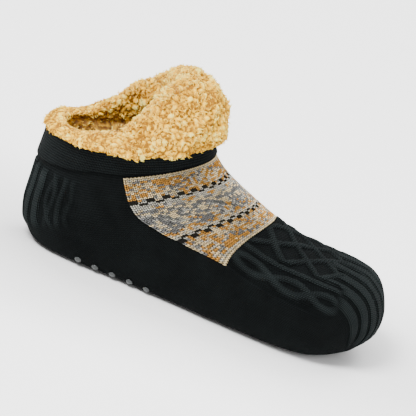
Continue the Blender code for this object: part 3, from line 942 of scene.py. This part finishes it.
# Columns of dots, each of them on both sides: how far to the side, how far staggered, and the range of rows
DOT_COLUMNS = ((0.0, 0.0, 0, 17), (0.29, 0.5, 0, 16), (0.58, 0.0, 1, 16), (0.87, 0.5, 2, 7))
# The power of a share of the sole's width that gives the sine of its turn
SOLE_POWER = 1.6
# Lamps with their places, sizes and watts
LAMPS = (
    ("key_softbox", (-0.9, -1.1, 1.9), 0.9, 100.0),
    ("fill_softbox", (1.6, -1.0, 1.1), 1.4, 18.0),
    ("back_softbox", (0.6, 1.6, 1.5), 1.2, 40.0),
    ("top_softbox", (0.0, 0.0, 2.2), 1.6, 20.0),
)
LAMP_AIM = Vector((0.0, 0.0, 0.06))
CAMERA_AIM = Vector((-0.006, 0.0, 0.063))
FLOOR_REACH = 6.0


class OBJECT_OT_sock_knit(bpy.types.Operator):
    """Builds the black knitted outer with its ribs, cables and lattice"""
    bl_idname = "slipper_sock.knit"
    bl_label = "Knitted outer"

    def execute(self, context):
        sizes = context.scene.sock_knit
        rows, columns = KNIT_ROWS, KNIT_COLUMNS
        places = even_rings(rows, 0.0, LAST_RING, back_share=0.45)
        turns = even_turns(columns)
        signed = np.where(turns > HALF_TURN, turns - 2 * HALF_TURN, turns)
        ring, turn = np.meshgrid(places, signed, indexing="ij")
        smooth = surface(ring, turn)
        girth = running(np.concatenate([smooth, smooth[:, :1]], axis=1), 1)
        half = girth[:, columns // 2][:, None]
        around = np.where(turn >= 0, girth[:, :-1], girth[:, :-1] - 2 * half)
        aside, to_side = np.abs(turn), np.abs(around)
        front = running(surface(places, 0.0), 0)[:, None]
        panel_end = np.interp(PANEL_BOTTOM[0], places, front[:, 0])
        # The panel's lower edge lies further forward on the sides, and the toe's pattern starts from it
        start = panel_end + 12 * MM * np.clip(to_side / (60 * MM), 0, 1) ** 2
        along = np.broadcast_to(front, ring.shape) - start
        down = running(smooth, 0)
        from_back = (half - to_side) * np.where(turn >= 0, 1, -1)

        toe = toe_relief(around, along) * ramp(along, 0.5 * MM, 3 * MM)
        toe = toe * fade(ring, LAST_RING - 1.0, LAST_RING - 0.15) * (to_side < 62 * MM)
        toe = toe * (1 - ramp(aside, 1.05, 1.40) * ramp(ring, LAST_RING - 3.0, LAST_RING - 1.2))
        heel = heel_relief(from_back, down) * ramp(down, 27 * MM, 31 * MM) * fade(ring, 3.6, 4.3)
        # The heel's pattern leans forward with the cloth and ends where the panel's side begins
        heel = heel * fade(np.abs(from_back), 57 * MM, 61 * MM) * (aside > HALF_TURN / 2)
        covered = panel_mask(ring, turn)
        raised = np.where(covered, 0.0, np.maximum(toe, heel))
        on_side = (aside > math.radians(35)) & (aside < math.radians(140))
        folds = fold_depth(smooth) * on_side
        free = ramp(down, 26 * MM, 34 * MM) * ~covered
        swell = uneven(smooth, size=16 * MM, seed=0.4) * KNIT_SWELL
        # A crease runs beside the toe's pattern
        crease = dome(to_side - 57.5 * MM, 2.4 * MM) * ramp(along, -4 * MM, 2 * MM)
        crease = crease * fade(along, 40 * MM, 52 * MM) * 1.2 * MM
        on_sole = fade(smooth[..., 2], 1.6 * MM, 9 * MM)
        outward = sizes.relief * raised + (swell - folds - crease) * free * (1 - on_sole)
        fading = fade(ring, LAST_RING - 0.7, LAST_RING)
        outer = smooth + normals(ring, turn) * (outward * fading)[..., None]
        outer[-1] = smooth[-1]

        inner_places = inner_rings(16)
        inner = surface(inner_places[:, None], signed[None, :], KNIT_WALL)
        shift = rows * columns
        points = np.vstack([outer.reshape(-1, 3), inner.reshape(-1, 3), inner[-1].mean(axis=0)[None]])
        index = np.arange(len(points))
        column = np.arange(columns)
        # The last row is closed to a seam: each point shares the one that faces it
        mate = (columns // 2 - column) % columns
        index[(rows - 1) * columns + column] = (rows - 1) * columns + np.minimum(column, mate)
        outside = index[tube_faces(rows, columns)]
        inside = tube_faces(len(inner_places), columns)[:, ::-1] + shift
        rim = np.stack([column, np.roll(column, -1), np.roll(column, -1) + shift, column + shift], axis=-1)
        end = fan(shift + (len(inner_places) - 1) * columns + column, len(points) - 1)[:, ::-1]

        # Only the outside has stitches
        uv = self.stitch_places(sizes, around, half, ring, turn, down, columns)
        spare = inside.size + rim.size + end.size
        uv = np.vstack([uv, np.zeros((spare, 2))])
        # The relief's height goes to the finish, which paints a highlight on what is raised
        lifted = np.concatenate([np.clip(raised, 0, 1).ravel(), np.zeros(len(points) - shift)])
        # The knit under the panel is painted dark: painted shade standing in for the gaps between its
        # stitches
        finish = [
            knit_finish("black yarn", tuple(sizes.colour), tuple(sizes.highlight)),
            knit_finish("panel ground", (0.016, 0.014, 0.011), (0.034, 0.030, 0.024)),
        ]
        groups = (outside, inside, rim, end)
        used, kept = np.unique(np.concatenate([group.ravel() for group in groups]), return_inverse=True)
        parts = np.split(kept.ravel(), np.cumsum([group.size for group in groups])[:-1])
        faces = [part.reshape(group.shape) for part, group in zip(parts, groups)]
        piece = build_mesh("knitted_outer", points[used], faces, finish, uv, {"raised": lifted[used]})
        # Faces under the panel take that dark ground, painted as the shade between stitches
        ground_with_gap_shade = (covered[:-1] & covered[1:]).ravel()
        marks = np.concatenate([ground_with_gap_shade, np.zeros(len(piece.data.polygons) - len(ground_with_gap_shade), bool)])
        piece.data.polygons.foreach_set("material_index", marks.astype(np.int32))
        dress(piece, "black_knit", "knit_upper_with_sole")
        return {"FINISHED"}

    def stitch_places(self, sizes, around, half, ring, turn, down, columns):
        """Stitch coordinates of every corner, of one width all over and upright at front and back."""
        back = ramp(np.abs(turn), math.radians(50), math.radians(150))
        heel_half = np.interp(LEG_RINGS, ring[:, 0], half[:, 0])
        extra = np.where(ring < LEG_RINGS, heel_half - half, 0.0) * back
        across = (np.abs(around) + extra) / sizes.wale
        middle = columns // 2
        rising, falling = across[:, :middle + 1], across[:, middle:]
        falling = np.concatenate([falling, across[:, :1]], axis=1)
        start = np.concatenate([rising[:, :-1], -falling[:, :-1]], axis=1)
        end = np.concatenate([rising[:, 1:], -falling[:, 1:]], axis=1)
        rows = down / sizes.course
        ahead = np.roll(rows, -1, axis=1)
        pairs = (start[:-1], rows[:-1]), (start[1:], rows[1:]), (end[1:], ahead[1:]), (end[:-1], ahead[:-1])
        return np.stack([np.stack(pair, axis=-1) for pair in pairs], axis=2).reshape(-1, 2)


class OBJECT_OT_sock_panel(bpy.types.Operator):
    """Builds the patterned panel, stitch by stitch"""
    bl_idname = "slipper_sock.panel"
    bl_label = "Patterned panel"

    def execute(self, context):
        sizes = context.scene.sock_panel
        chance = np.random.default_rng(11)
        rows = len(CHART)
        column, row = np.meshgrid(np.arange(PANEL_COLUMNS), np.arange(rows))
        column, row = column.ravel(), row.ravel()

        def spot(columns_across, rows_down):
            share = np.clip(rows_down / rows, -0.02, 1.0)
            ring, turn = panel_place(columns_across / (PANEL_COLUMNS / 2) - 1, share)
            return surface(ring, turn), normals(ring, turn)

        centre, up = spot(column + 0.5, row + 0.5)
        wide = spot(column + 1.0, row + 0.5)[0] - spot(column + 0.0, row + 0.5)[0]
        tall = spot(column + 0.5, row + 0.0)[0] - spot(column + 0.5, row + 1.0)[0]
        colours = self.stitch_colours(sizes, chance, column, row)

        points, tints = [], []
        each = len(STITCH_PAINTED_SHADING)
        for hand in (-1, 1):
            sway = chance.normal(0, STITCH_SWAY, len(column))
            strand = []
            for out, along, lift, girth in STITCH_LINE:
                spine = centre + wide * (hand * out + sway)[:, None] + tall * along
                spine = spine + up * (STITCH_LIFT + sizes.thickness * 0.5 * lift)
                if girth == 0:
                    strand.append(spine[:, None])
                    continue
                body = wide * STITCH_HALF * girth
                thick = up * sizes.thickness * STITCH_THICK * girth
                lean = tall * STITCH_LEAN * hand * girth
                strand.append(np.stack([spine + body - lean, spine + thick, spine - body + lean], axis=1))
            points.append(np.concatenate(strand, axis=1).reshape(-1, 3))
            # Each point takes its stitch's colour times the painted shading along the stitch
            shaded = np.repeat(colours, each, axis=0)
            shaded[:, :3] *= np.tile(STITCH_PAINTED_SHADING, len(colours))[:, None]
            tints.append(shaded)
        ends = [(0, 1 + (side + 1) % 3, 1 + side) for side in range(3)]
        ends += [(7 + side, 7 + (side + 1) % 3, 10) for side in range(3)]
        faces = repeated((prism_quads(1, 3), ends), each, 2 * len(column))
        attributes = {"yarn": np.vstack(tints)}
        piece = build_mesh("fair_isle_panel", np.vstack(points), faces, self.finish(), attributes=attributes)
        dress(piece, "black_knit")
        return {"FINISHED"}

    def stitch_colours(self, sizes, chance, column, row):
        """Colour of every stitch from the chart, with the yarn's own unevenness."""
        found = np.ones((len(column), 4))
        for index, (across, down) in enumerate(zip(column, row)):
            repeat = CHART[down]
            letter = repeat[(across - PANEL_COLUMNS // 2) % len(repeat)]
            if letter in MIXED_YARNS:
                letter = MIXED_YARNS[letter][chance.integers(len(MIXED_YARNS[letter]))]
            found[index, :3] = YARNS[letter]
        found[:, :3] *= 1 + sizes.unevenness * chance.uniform(-1, 0.6, (len(column), 1))
        return found

    def finish(self):
        """Soft coloured yarn, with a fine twist and loose fibres."""
        paint = Paint(
            "panel yarn", Roughness=0.85, Sheen_Weight=0.02, Sheen_Roughness=0.5, Specular_IOR_Level=0.08)
        # The yarn colours carry the painted shade and highlight along each stitch
        yarn = paint.measure("yarn", "Color")
        fibres = paint.noise(2400.0, 3.0, 0.6)
        flecks = paint.noise(700.0, 2.0, 0.5)
        worn = paint.blend((fibres - 0.30) * 0.55 + (flecks - 0.5) * 0.5, yarn, (0.70, 0.58, 0.40))
        paint.set("Base Color", paint.blend(0.07, yarn, worn))
        paint.bump(fibres, 0.0003, 0.7)
        return paint.material


class OBJECT_OT_sock_band(bpy.types.Operator):
    """Builds the doubled hem round the collar"""
    bl_idname = "slipper_sock.band"
    bl_label = "Collar band"

    def execute(self, context):
        sizes = context.scene.sock_knit
        count = BAND_COLUMNS
        turns = even_turns(count)
        depth = between(BAND_FRONT_DEPTH, BAND_BACK_DEPTH, (0.5 - 0.5 * np.cos(turns)) ** 1.5)
        depth = depth - 0.0006 * (1 + uneven(surface(1.5, turns), size=0.012, seed=1.7))
        # Outside from the top down, round the fold and up the inside, as shares of depth and of thickness
        outline = [(0.0, 0.5), (0.0, 1.0)] + [(share, 1.0) for share in np.linspace(0.06, 0.90, 14)]
        outline += [(0.95, 0.97), (0.985, 0.80), (1.0, 0.5), (0.985, 0.18), (0.95, 0.0)]
        outline += [(share, 0.0) for share in np.linspace(0.85, 0.0, 8)]
        loops = []
        for down, out in outline:
            place = below_collar(turns, down * depth)
            swell = uneven(surface(place, turns), size=0.014, seed=0.9) * BAND_SWELL * out
            loops.append(offset(place, turns, FIT_GAP + out * BAND_THICKNESS + swell))
        points = np.array(loops)
        rows = len(loops)
        faces = tube_faces(rows, count, joined=True)
        around = running(np.concatenate([points, points[:, :1]], axis=1), 1) / sizes.wale
        along = running(points, 0)
        along = np.concatenate([along, along[-1:] + 0.002]) / sizes.course
        level, column = np.divmod(np.arange(rows * count), count)
        uv = np.stack([
            np.stack([around[0][column + right], along[level + below, (column + right) % count]], axis=-1)
            for below, right in ((0, 0), (1, 0), (1, 1), (0, 1))
        ], axis=1).reshape(-1, 2)
        finish = knit_finish("band yarn", tuple(sizes.colour), tuple(sizes.highlight), BAND_SLANT)
        # The outer face is painted lighter than the inner one, a painted highlight through the yarn's finish
        raised = np.repeat([out * 0.25 for _, out in outline], count)
        piece = build_mesh("collar_hem", points, [faces], finish, uv, {"raised": raised})
        dress(piece, "black_knit", "collar_band")
        return {"FINISHED"}


def cuff_sizes(turns):
    """Rise, inward reach, overhang and droop of the cuff at each turn, in metres."""
    half = np.abs(np.mod(turns + HALF_TURN, 2 * HALF_TURN) - HALF_TURN) / HALF_TURN
    table = np.array(CUFF_SECTIONS)
    columns = through(table, np.interp(half, table[:, 0], np.arange(len(table))))
    far = ramp(np.sin(turns), -0.35, 0.35)
    rise = (columns[..., 1] * (1 - far) + columns[..., 2] * far) * CUFF_RISE
    reach, overhang, droop = (columns[..., index] for index in (3, 4, 5))
    return rise, reach * CUFF_REACH_IN, overhang * CUFF_OVERHANG, droop * CUFF_DROOP


def cuff_loops(turns):
    """Loops round the cuff's section: four of the seat, two of the lip and nine of the skin."""
    edge = surface(0.0, turns)
    out = edge - np.array([CUFF_CENTRE * FOOT_LENGTH, 0.0, 0.0])
    out[:, 2] = 0
    out = unit(out)
    up = np.array([0.0, 0.0, 1.0])
    rise, reach, overhang, droop = cuff_sizes(turns)
    root = KNIT_WALL + FIT_GAP + LINING_THICKNESS
    face = FIT_GAP + BAND_THICKNESS + FIT_GAP
    seat_height = up * 2 * FIT_GAP
    lean = np.maximum(reach - root, 0)
    belly = overhang + face

    def beyond_edge(outward, height):
        return edge + out * outward[:, None] + up * height[:, None]

    return np.array([
        surface(0.0, turns, root) + seat_height,
        surface(0.0, turns, KNIT_WALL) + seat_height,
        offset(0.0, turns, np.full(turns.shape, face)) + seat_height,
        *(offset(below_collar(turns, droop * down), turns, face + overhang * share)
          for down, share in CUFF_LIP),
        *(beyond_edge(belly * far - lean * over - root * within, rise * high)
          for far, over, within, high in CUFF_SKIN),
    ]), rise


class OBJECT_OT_sock_cuff(bpy.types.Operator):
    """Builds the turned-out fleece cuff and its curly pile"""
    bl_idname = "slipper_sock.cuff"
    bl_label = "Fleece cuff"

    def execute(self, context):
        sizes = context.scene.sock_fleece
        turns = even_turns(CUFF_COLUMNS)
        loops, rise = cuff_loops(turns)
        skin = np.concatenate([loops[3:], loops[:1]])
        fine = through(skin.reshape(len(skin), -1), np.linspace(0, len(skin) - 1, CUFF_ROWS))
        fine = fine.reshape(CUFF_ROWS, CUFF_COLUMNS, 3)
        # The skin, and under it the two loops of the seat that rest on the collar
        points = np.concatenate([fine, loops[1:3]])
        shape = points.shape[:2]
        faces = tube_faces(*shape, joined=True)[:, ::-1]
        flat = points.reshape(-1, 3)
        facing = point_normals(flat, faces)
        curls = curls_over(flat, sizes.curl, seed=3)
        # Curls fade out towards the seat, and are lower where the cuff is low
        level = np.arange(len(points))[:, None]
        last = CUFF_ROWS - 1
        free = ramp(level, 0, 6) * fade(level, last - 6, last) * (level <= last)
        free = np.broadcast_to(free, shape).ravel()
        room = np.broadcast_to(np.clip(rise / CUFF_FULL_RISE, LEAST_CURL, 1)[None], shape).ravel()
        swell = uneven(flat, size=0.013, seed=2.2) * CUFF_SWELL
        outward = (sizes.height * (curls.swell - CURL_SUNK) + swell) * free * room
        shaped = flat + facing * outward[:, None]
        finish = fleece_finish("cuff fleece", sizes)
        # The inside of the cuff lies in shade and takes a copy of the fleece with a paler painted depth
        sheltered = fleece_finish("sheltered fleece", sizes, paler=0.06)
        # The curls' swell sets the painted shade between them and the painted highlight on their tops
        attributes = {"pile": curls.swell * 0.62, "shade": curls.tone}
        piece = build_mesh("fleece_roll", shaped, [faces], finish, attributes=attributes)
        dress(piece, "cream_fleece", "fleece_cuff")

        facing = point_normals(shaped, faces)
        top = np.argmax(fine[:, 0, 2])
        grid = np.arange(len(flat)).reshape(shape)
        for name, part, share, look, seed in (
            ("cuff_pile_outside", grid[3:top + 4], 1.0, finish, 21),
            ("cuff_pile_inside", grid[top - 4:last], INSIDE_SHARE, sheltered, 22),
        ):
            chosen = by_area(shaped, part, round(sizes.locks * share), seed)
            add_pile(name, shaped, facing, curls, chosen, sizes, look, seed)
        return {"FINISHED"}


class OBJECT_OT_sock_lining(bpy.types.Operator):
    """Builds the fleece lining inside the foot and the pile that shows through the collar"""
    bl_idname = "slipper_sock.lining"
    bl_label = "Fleece lining"

    def execute(self, context):
        sizes = context.scene.sock_fleece
        count = LINING_COLUMNS
        turns = even_turns(count)
        depth = KNIT_WALL + FIT_GAP
        places = np.append(even_rings(LINING_ROWS, 0.0, LAST_RING - 1, back_share=1.5), INNER_END)
        inner = surface(places[:, None], turns[None], depth + LINING_THICKNESS)
        outer_places = inner_rings(15)
        outer = surface(outer_places[:, None], turns[None], depth)
        flat = inner.reshape(-1, 3)
        faces = tube_faces(len(places), count)[:, ::-1]
        facing = point_normals(flat, faces)
        curls = curls_over(flat, sizes.curl, seed=8)
        # Curls fade out at the collar and towards the toe
        free = ramp(np.arange(len(places)), 0, 3) * fade(places, LAST_RING - 4, LAST_RING - 2)
        outward = sizes.height * (curls.swell - CURL_SUNK) * np.repeat(free, count)
        shaped = flat + facing * outward[:, None]
        shift = len(flat)
        tips = inner[-1].mean(axis=0), outer[-1].mean(axis=0)
        points = np.vstack([shaped, outer.reshape(-1, 3), *tips])
        column = np.arange(count)
        end_in = fan(shift - count + column, len(points) - 2)[:, ::-1]
        end_out = fan(len(points) - 2 - count + column, len(points) - 1)
        after = np.roll(column, -1)
        rim = np.stack([after, after + shift, column + shift, column], axis=-1)
        outside = tube_faces(len(outer_places), count) + shift
        # The lining lies in shade and takes a copy of the fleece with a paler painted depth; the curls'
        # swell sets the painted shade and highlight
        finish = fleece_finish("lining fleece", sizes, paler=0.05)
        pile = np.concatenate([curls.swell * 0.5, np.zeros(len(points) - shift)])
        attributes = {"pile": pile, "shade": np.full(len(points), 0.5)}
        groups = [faces, outside, rim, end_in, end_out]
        piece = build_mesh("fleece_inside", points, groups, finish, attributes=attributes)
        dress(piece, "cream_fleece", "fleece_lining")

        facing = point_normals(shaped, faces)
        grid = np.arange(shift).reshape(len(places), count)
        # Only what can be seen through the mouth has its pile, and most of it stands near the mouth
        seen = places[places < SEEN_RING]
        favour = np.where(seen < MOUTH_RING, MOUTH_FAVOUR, 1.0)[:, None]
        chosen = by_area(shaped, grid[:len(seen)], round(sizes.locks * INSIDE_SHARE), 31, favour)
        add_pile("lining_pile", shaped, facing, curls, chosen, sizes, finish, seed=32)
        return {"FINISHED"}


class OBJECT_OT_sock_grip(bpy.types.Operator):
    """Builds the clear silicone dots under the sole"""
    bl_idname = "slipper_sock.grip"
    bl_label = "Grip dots"

    def execute(self, context):
        sizes = context.scene.sock_grip
        places = np.linspace(LEG_RINGS - 1.5, LAST_RING - 1, num=400)
        points, faces = [], []
        shift = 0
        for share, stagger, first, end in DOT_COLUMNS:
            for hand in (1, -1) if share else (1,):
                turn = HALF_TURN - hand * math.asin(share ** SOLE_POWER)
                line = surface(places, turn)
                for row in range(first, end):
                    x = DOT_ROW_START + (row + stagger) * DOT_PITCH
                    points.append(self.dot(sizes, float(np.interp(x, line[:, 0], places)), turn))
                    base = np.arange(DOT_SIDES) + shift
                    top = base + (DOT_LEVELS - 1) * DOT_SIDES
                    tip = shift + DOT_LEVELS * DOT_SIDES
                    faces.append(tube_faces(DOT_LEVELS, DOT_SIDES) + shift)
                    faces.append(fan(base, tip + 1)[:, ::-1])
                    faces.append(fan(top, tip))
                    shift += len(points[-1])
        piece = build_mesh("grip_dots", np.vstack(points), faces, self.finish())
        nodes = [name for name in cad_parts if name.startswith("grip_dot")]
        dress(piece, "clear_silicone", *nodes)
        return {"FINISHED"}

    def dot(self, sizes, place, turn):
        """Points of one dome-shaped dot: its rings, then its tip and the middle of its foot."""
        centre, down = surface(place, turn), normals(place, turn)
        along = unit(np.array([1.0, 0.0, 0.0]) - down * down[0])
        across = np.cross(down, along)
        made = []
        for level in range(DOT_LEVELS):
            tilt = HALF_TURN / 2 * level / DOT_LEVELS
            radius, height = math.cos(tilt) * sizes.diameter / 2, math.sin(tilt) * sizes.height
            for side in range(DOT_SIDES):
                spin = 2 * HALF_TURN * side / DOT_SIDES
                outward = along * math.cos(spin) + across * math.sin(spin)
                made.append(centre + down * (DOT_GAP + height) + radius * outward)
        made += [centre + down * (DOT_GAP + sizes.height), centre + down * DOT_GAP]
        made = np.array(made)
        made[:, 2] = np.maximum(made[:, 2], 0.0)
        return made

    def finish(self):
        """Clear silicone that looks milky against the black knit."""
        paint = Paint("clear silicone", IOR=1.41, Coat_Weight=0.08, Coat_Roughness=0.16)
        cloud = paint.noise(420.0, 2.0)
        paint.set("Base Color", paint.blend(cloud, (0.018, 0.021, 0.021), (0.052, 0.056, 0.056)))
        paint.set("Roughness", 0.20 + cloud * 0.12)
        paint.bump(paint.noise(700.0, 2.0), 0.0002, 0.4)
        return paint.material


class OBJECT_OT_sock_stage(bpy.types.Operator):
    """Sets the floor, the lights and the camera"""
    bl_idname = "slipper_sock.stage"
    bl_label = "Stage"

    def execute(self, context):
        settings = context.scene.sock_stage
        corners = np.array([(-1, -1, 0), (1, -1, 0), (1, 1, 0), (-1, 1, 0)]) * FLOOR_REACH - SHIFT
        paint = Paint("pale floor", Roughness=0.75, Specular_IOR_Level=0.2, Emission_Strength=0.9)
        # The floor glows like a light table, but not near the sock, which keeps its contact shadow
        sock_shaped = {0: paint.place(), 1: (0.45, 1, 1)}
        narrowed = paint.node("ShaderNodeVectorMath", {"operation": "MULTIPLY"}, sock_shaped)
        away = paint.node("ShaderNodeVectorMath", {"operation": "LENGTH"}, {0: narrowed}, "Value")
        paint.set("Emission Color", paint.blend((away - 0.06) * 9, (0.0, 0.0, 0.0), (1.0, 1.0, 1.0)))
        pale = tuple(settings.floor)
        paint.set("Base Color", paint.blend(paint.noise(5.0), tuple(part * 0.985 for part in pale), pale))
        floor = build_mesh("floor", corners, [np.array([[0, 1, 2, 3]])], paint.material)
        self.lights()
        self.camera(settings, context)
        return {"FINISHED"}

    def lights(self):
        world = bpy.data.worlds.new("soft daylight")
        world.use_nodes = True
        background = world.node_tree.nodes["Background"]
        background.inputs["Color"].default_value = (1.0, 1.0, 1.0, 1.0)
        background.inputs["Strength"].default_value = 0.80
        bpy.context.scene.world = world
        for name, place, size, power in LAMPS:
            lamp = bpy.data.lights.new(name, "AREA")
            lamp.size, lamp.energy = size, power
            holder = bpy.data.objects.new(name, lamp)
            holder.location = place
            holder.rotation_euler = (LAMP_AIM - Vector(place)).to_track_quat("-Z", "Y").to_euler()
            bpy.context.collection.objects.link(holder)

    def camera(self, settings, context):
        lens = bpy.data.cameras.new("camera")
        lens.sensor_width = 36.0
        lens.lens = 300.0
        holder = bpy.data.objects.new("camera", lens)
        flat = math.cos(settings.elevation) * settings.distance
        holder.location = CAMERA_AIM + Vector((
            math.sin(settings.azimuth) * flat, -math.cos(settings.azimuth) * flat,
            math.sin(settings.elevation) * settings.distance,
        ))
        facing = (CAMERA_AIM - holder.location).to_track_quat("-Z", "Y").to_matrix()
        holder.rotation_euler = (facing @ Matrix.Rotation(settings.roll, 3, "Z")).to_euler()
        bpy.context.collection.objects.link(holder)
        context.scene.camera = holder


class VIEW3D_PT_slipper_sock(bpy.types.Panel):
    """Lists the sock's builders and their settings"""
    bl_label = "Slipper Sock"
    bl_space_type = "VIEW_3D"
    bl_region_type = "UI"
    bl_category = "Slipper Sock"

    def draw(self, context):
        for builder in BUILDERS:
            self.layout.operator(builder.bl_idname)
        for name in SETTINGS:
            group = getattr(context.scene, name)
            box = self.layout.box()
            for label in group.__annotations__:
                box.prop(group, label)


BUILDERS = (
    OBJECT_OT_sock_knit, OBJECT_OT_sock_panel, OBJECT_OT_sock_band, OBJECT_OT_sock_cuff,
    OBJECT_OT_sock_lining, OBJECT_OT_sock_grip, OBJECT_OT_sock_stage,
)
SETTINGS = {
    "sock_knit": SlipperSockKnit,
    "sock_panel": SlipperSockPanel,
    "sock_fleece": SlipperSockFleece,
    "sock_grip": SlipperSockGrip,
    "sock_stage": SlipperSockStage,
}


def register():
    for made in (*SETTINGS.values(), *BUILDERS, VIEW3D_PT_slipper_sock):
        bpy.utils.register_class(made)
    for name, group in SETTINGS.items():
        setattr(bpy.types.Scene, name, PointerProperty(type=group))


def unregister():
    for name in SETTINGS:
        delattr(bpy.types.Scene, name)
    for made in (VIEW3D_PT_slipper_sock, *reversed(BUILDERS), *SETTINGS.values()):
        bpy.utils.unregister_class(made)


def main():
    register()
    for builder in BUILDERS:
        getattr(bpy.ops.slipper_sock, builder.bl_idname.split(".")[1])()


if __name__ == "__main__":
    main()
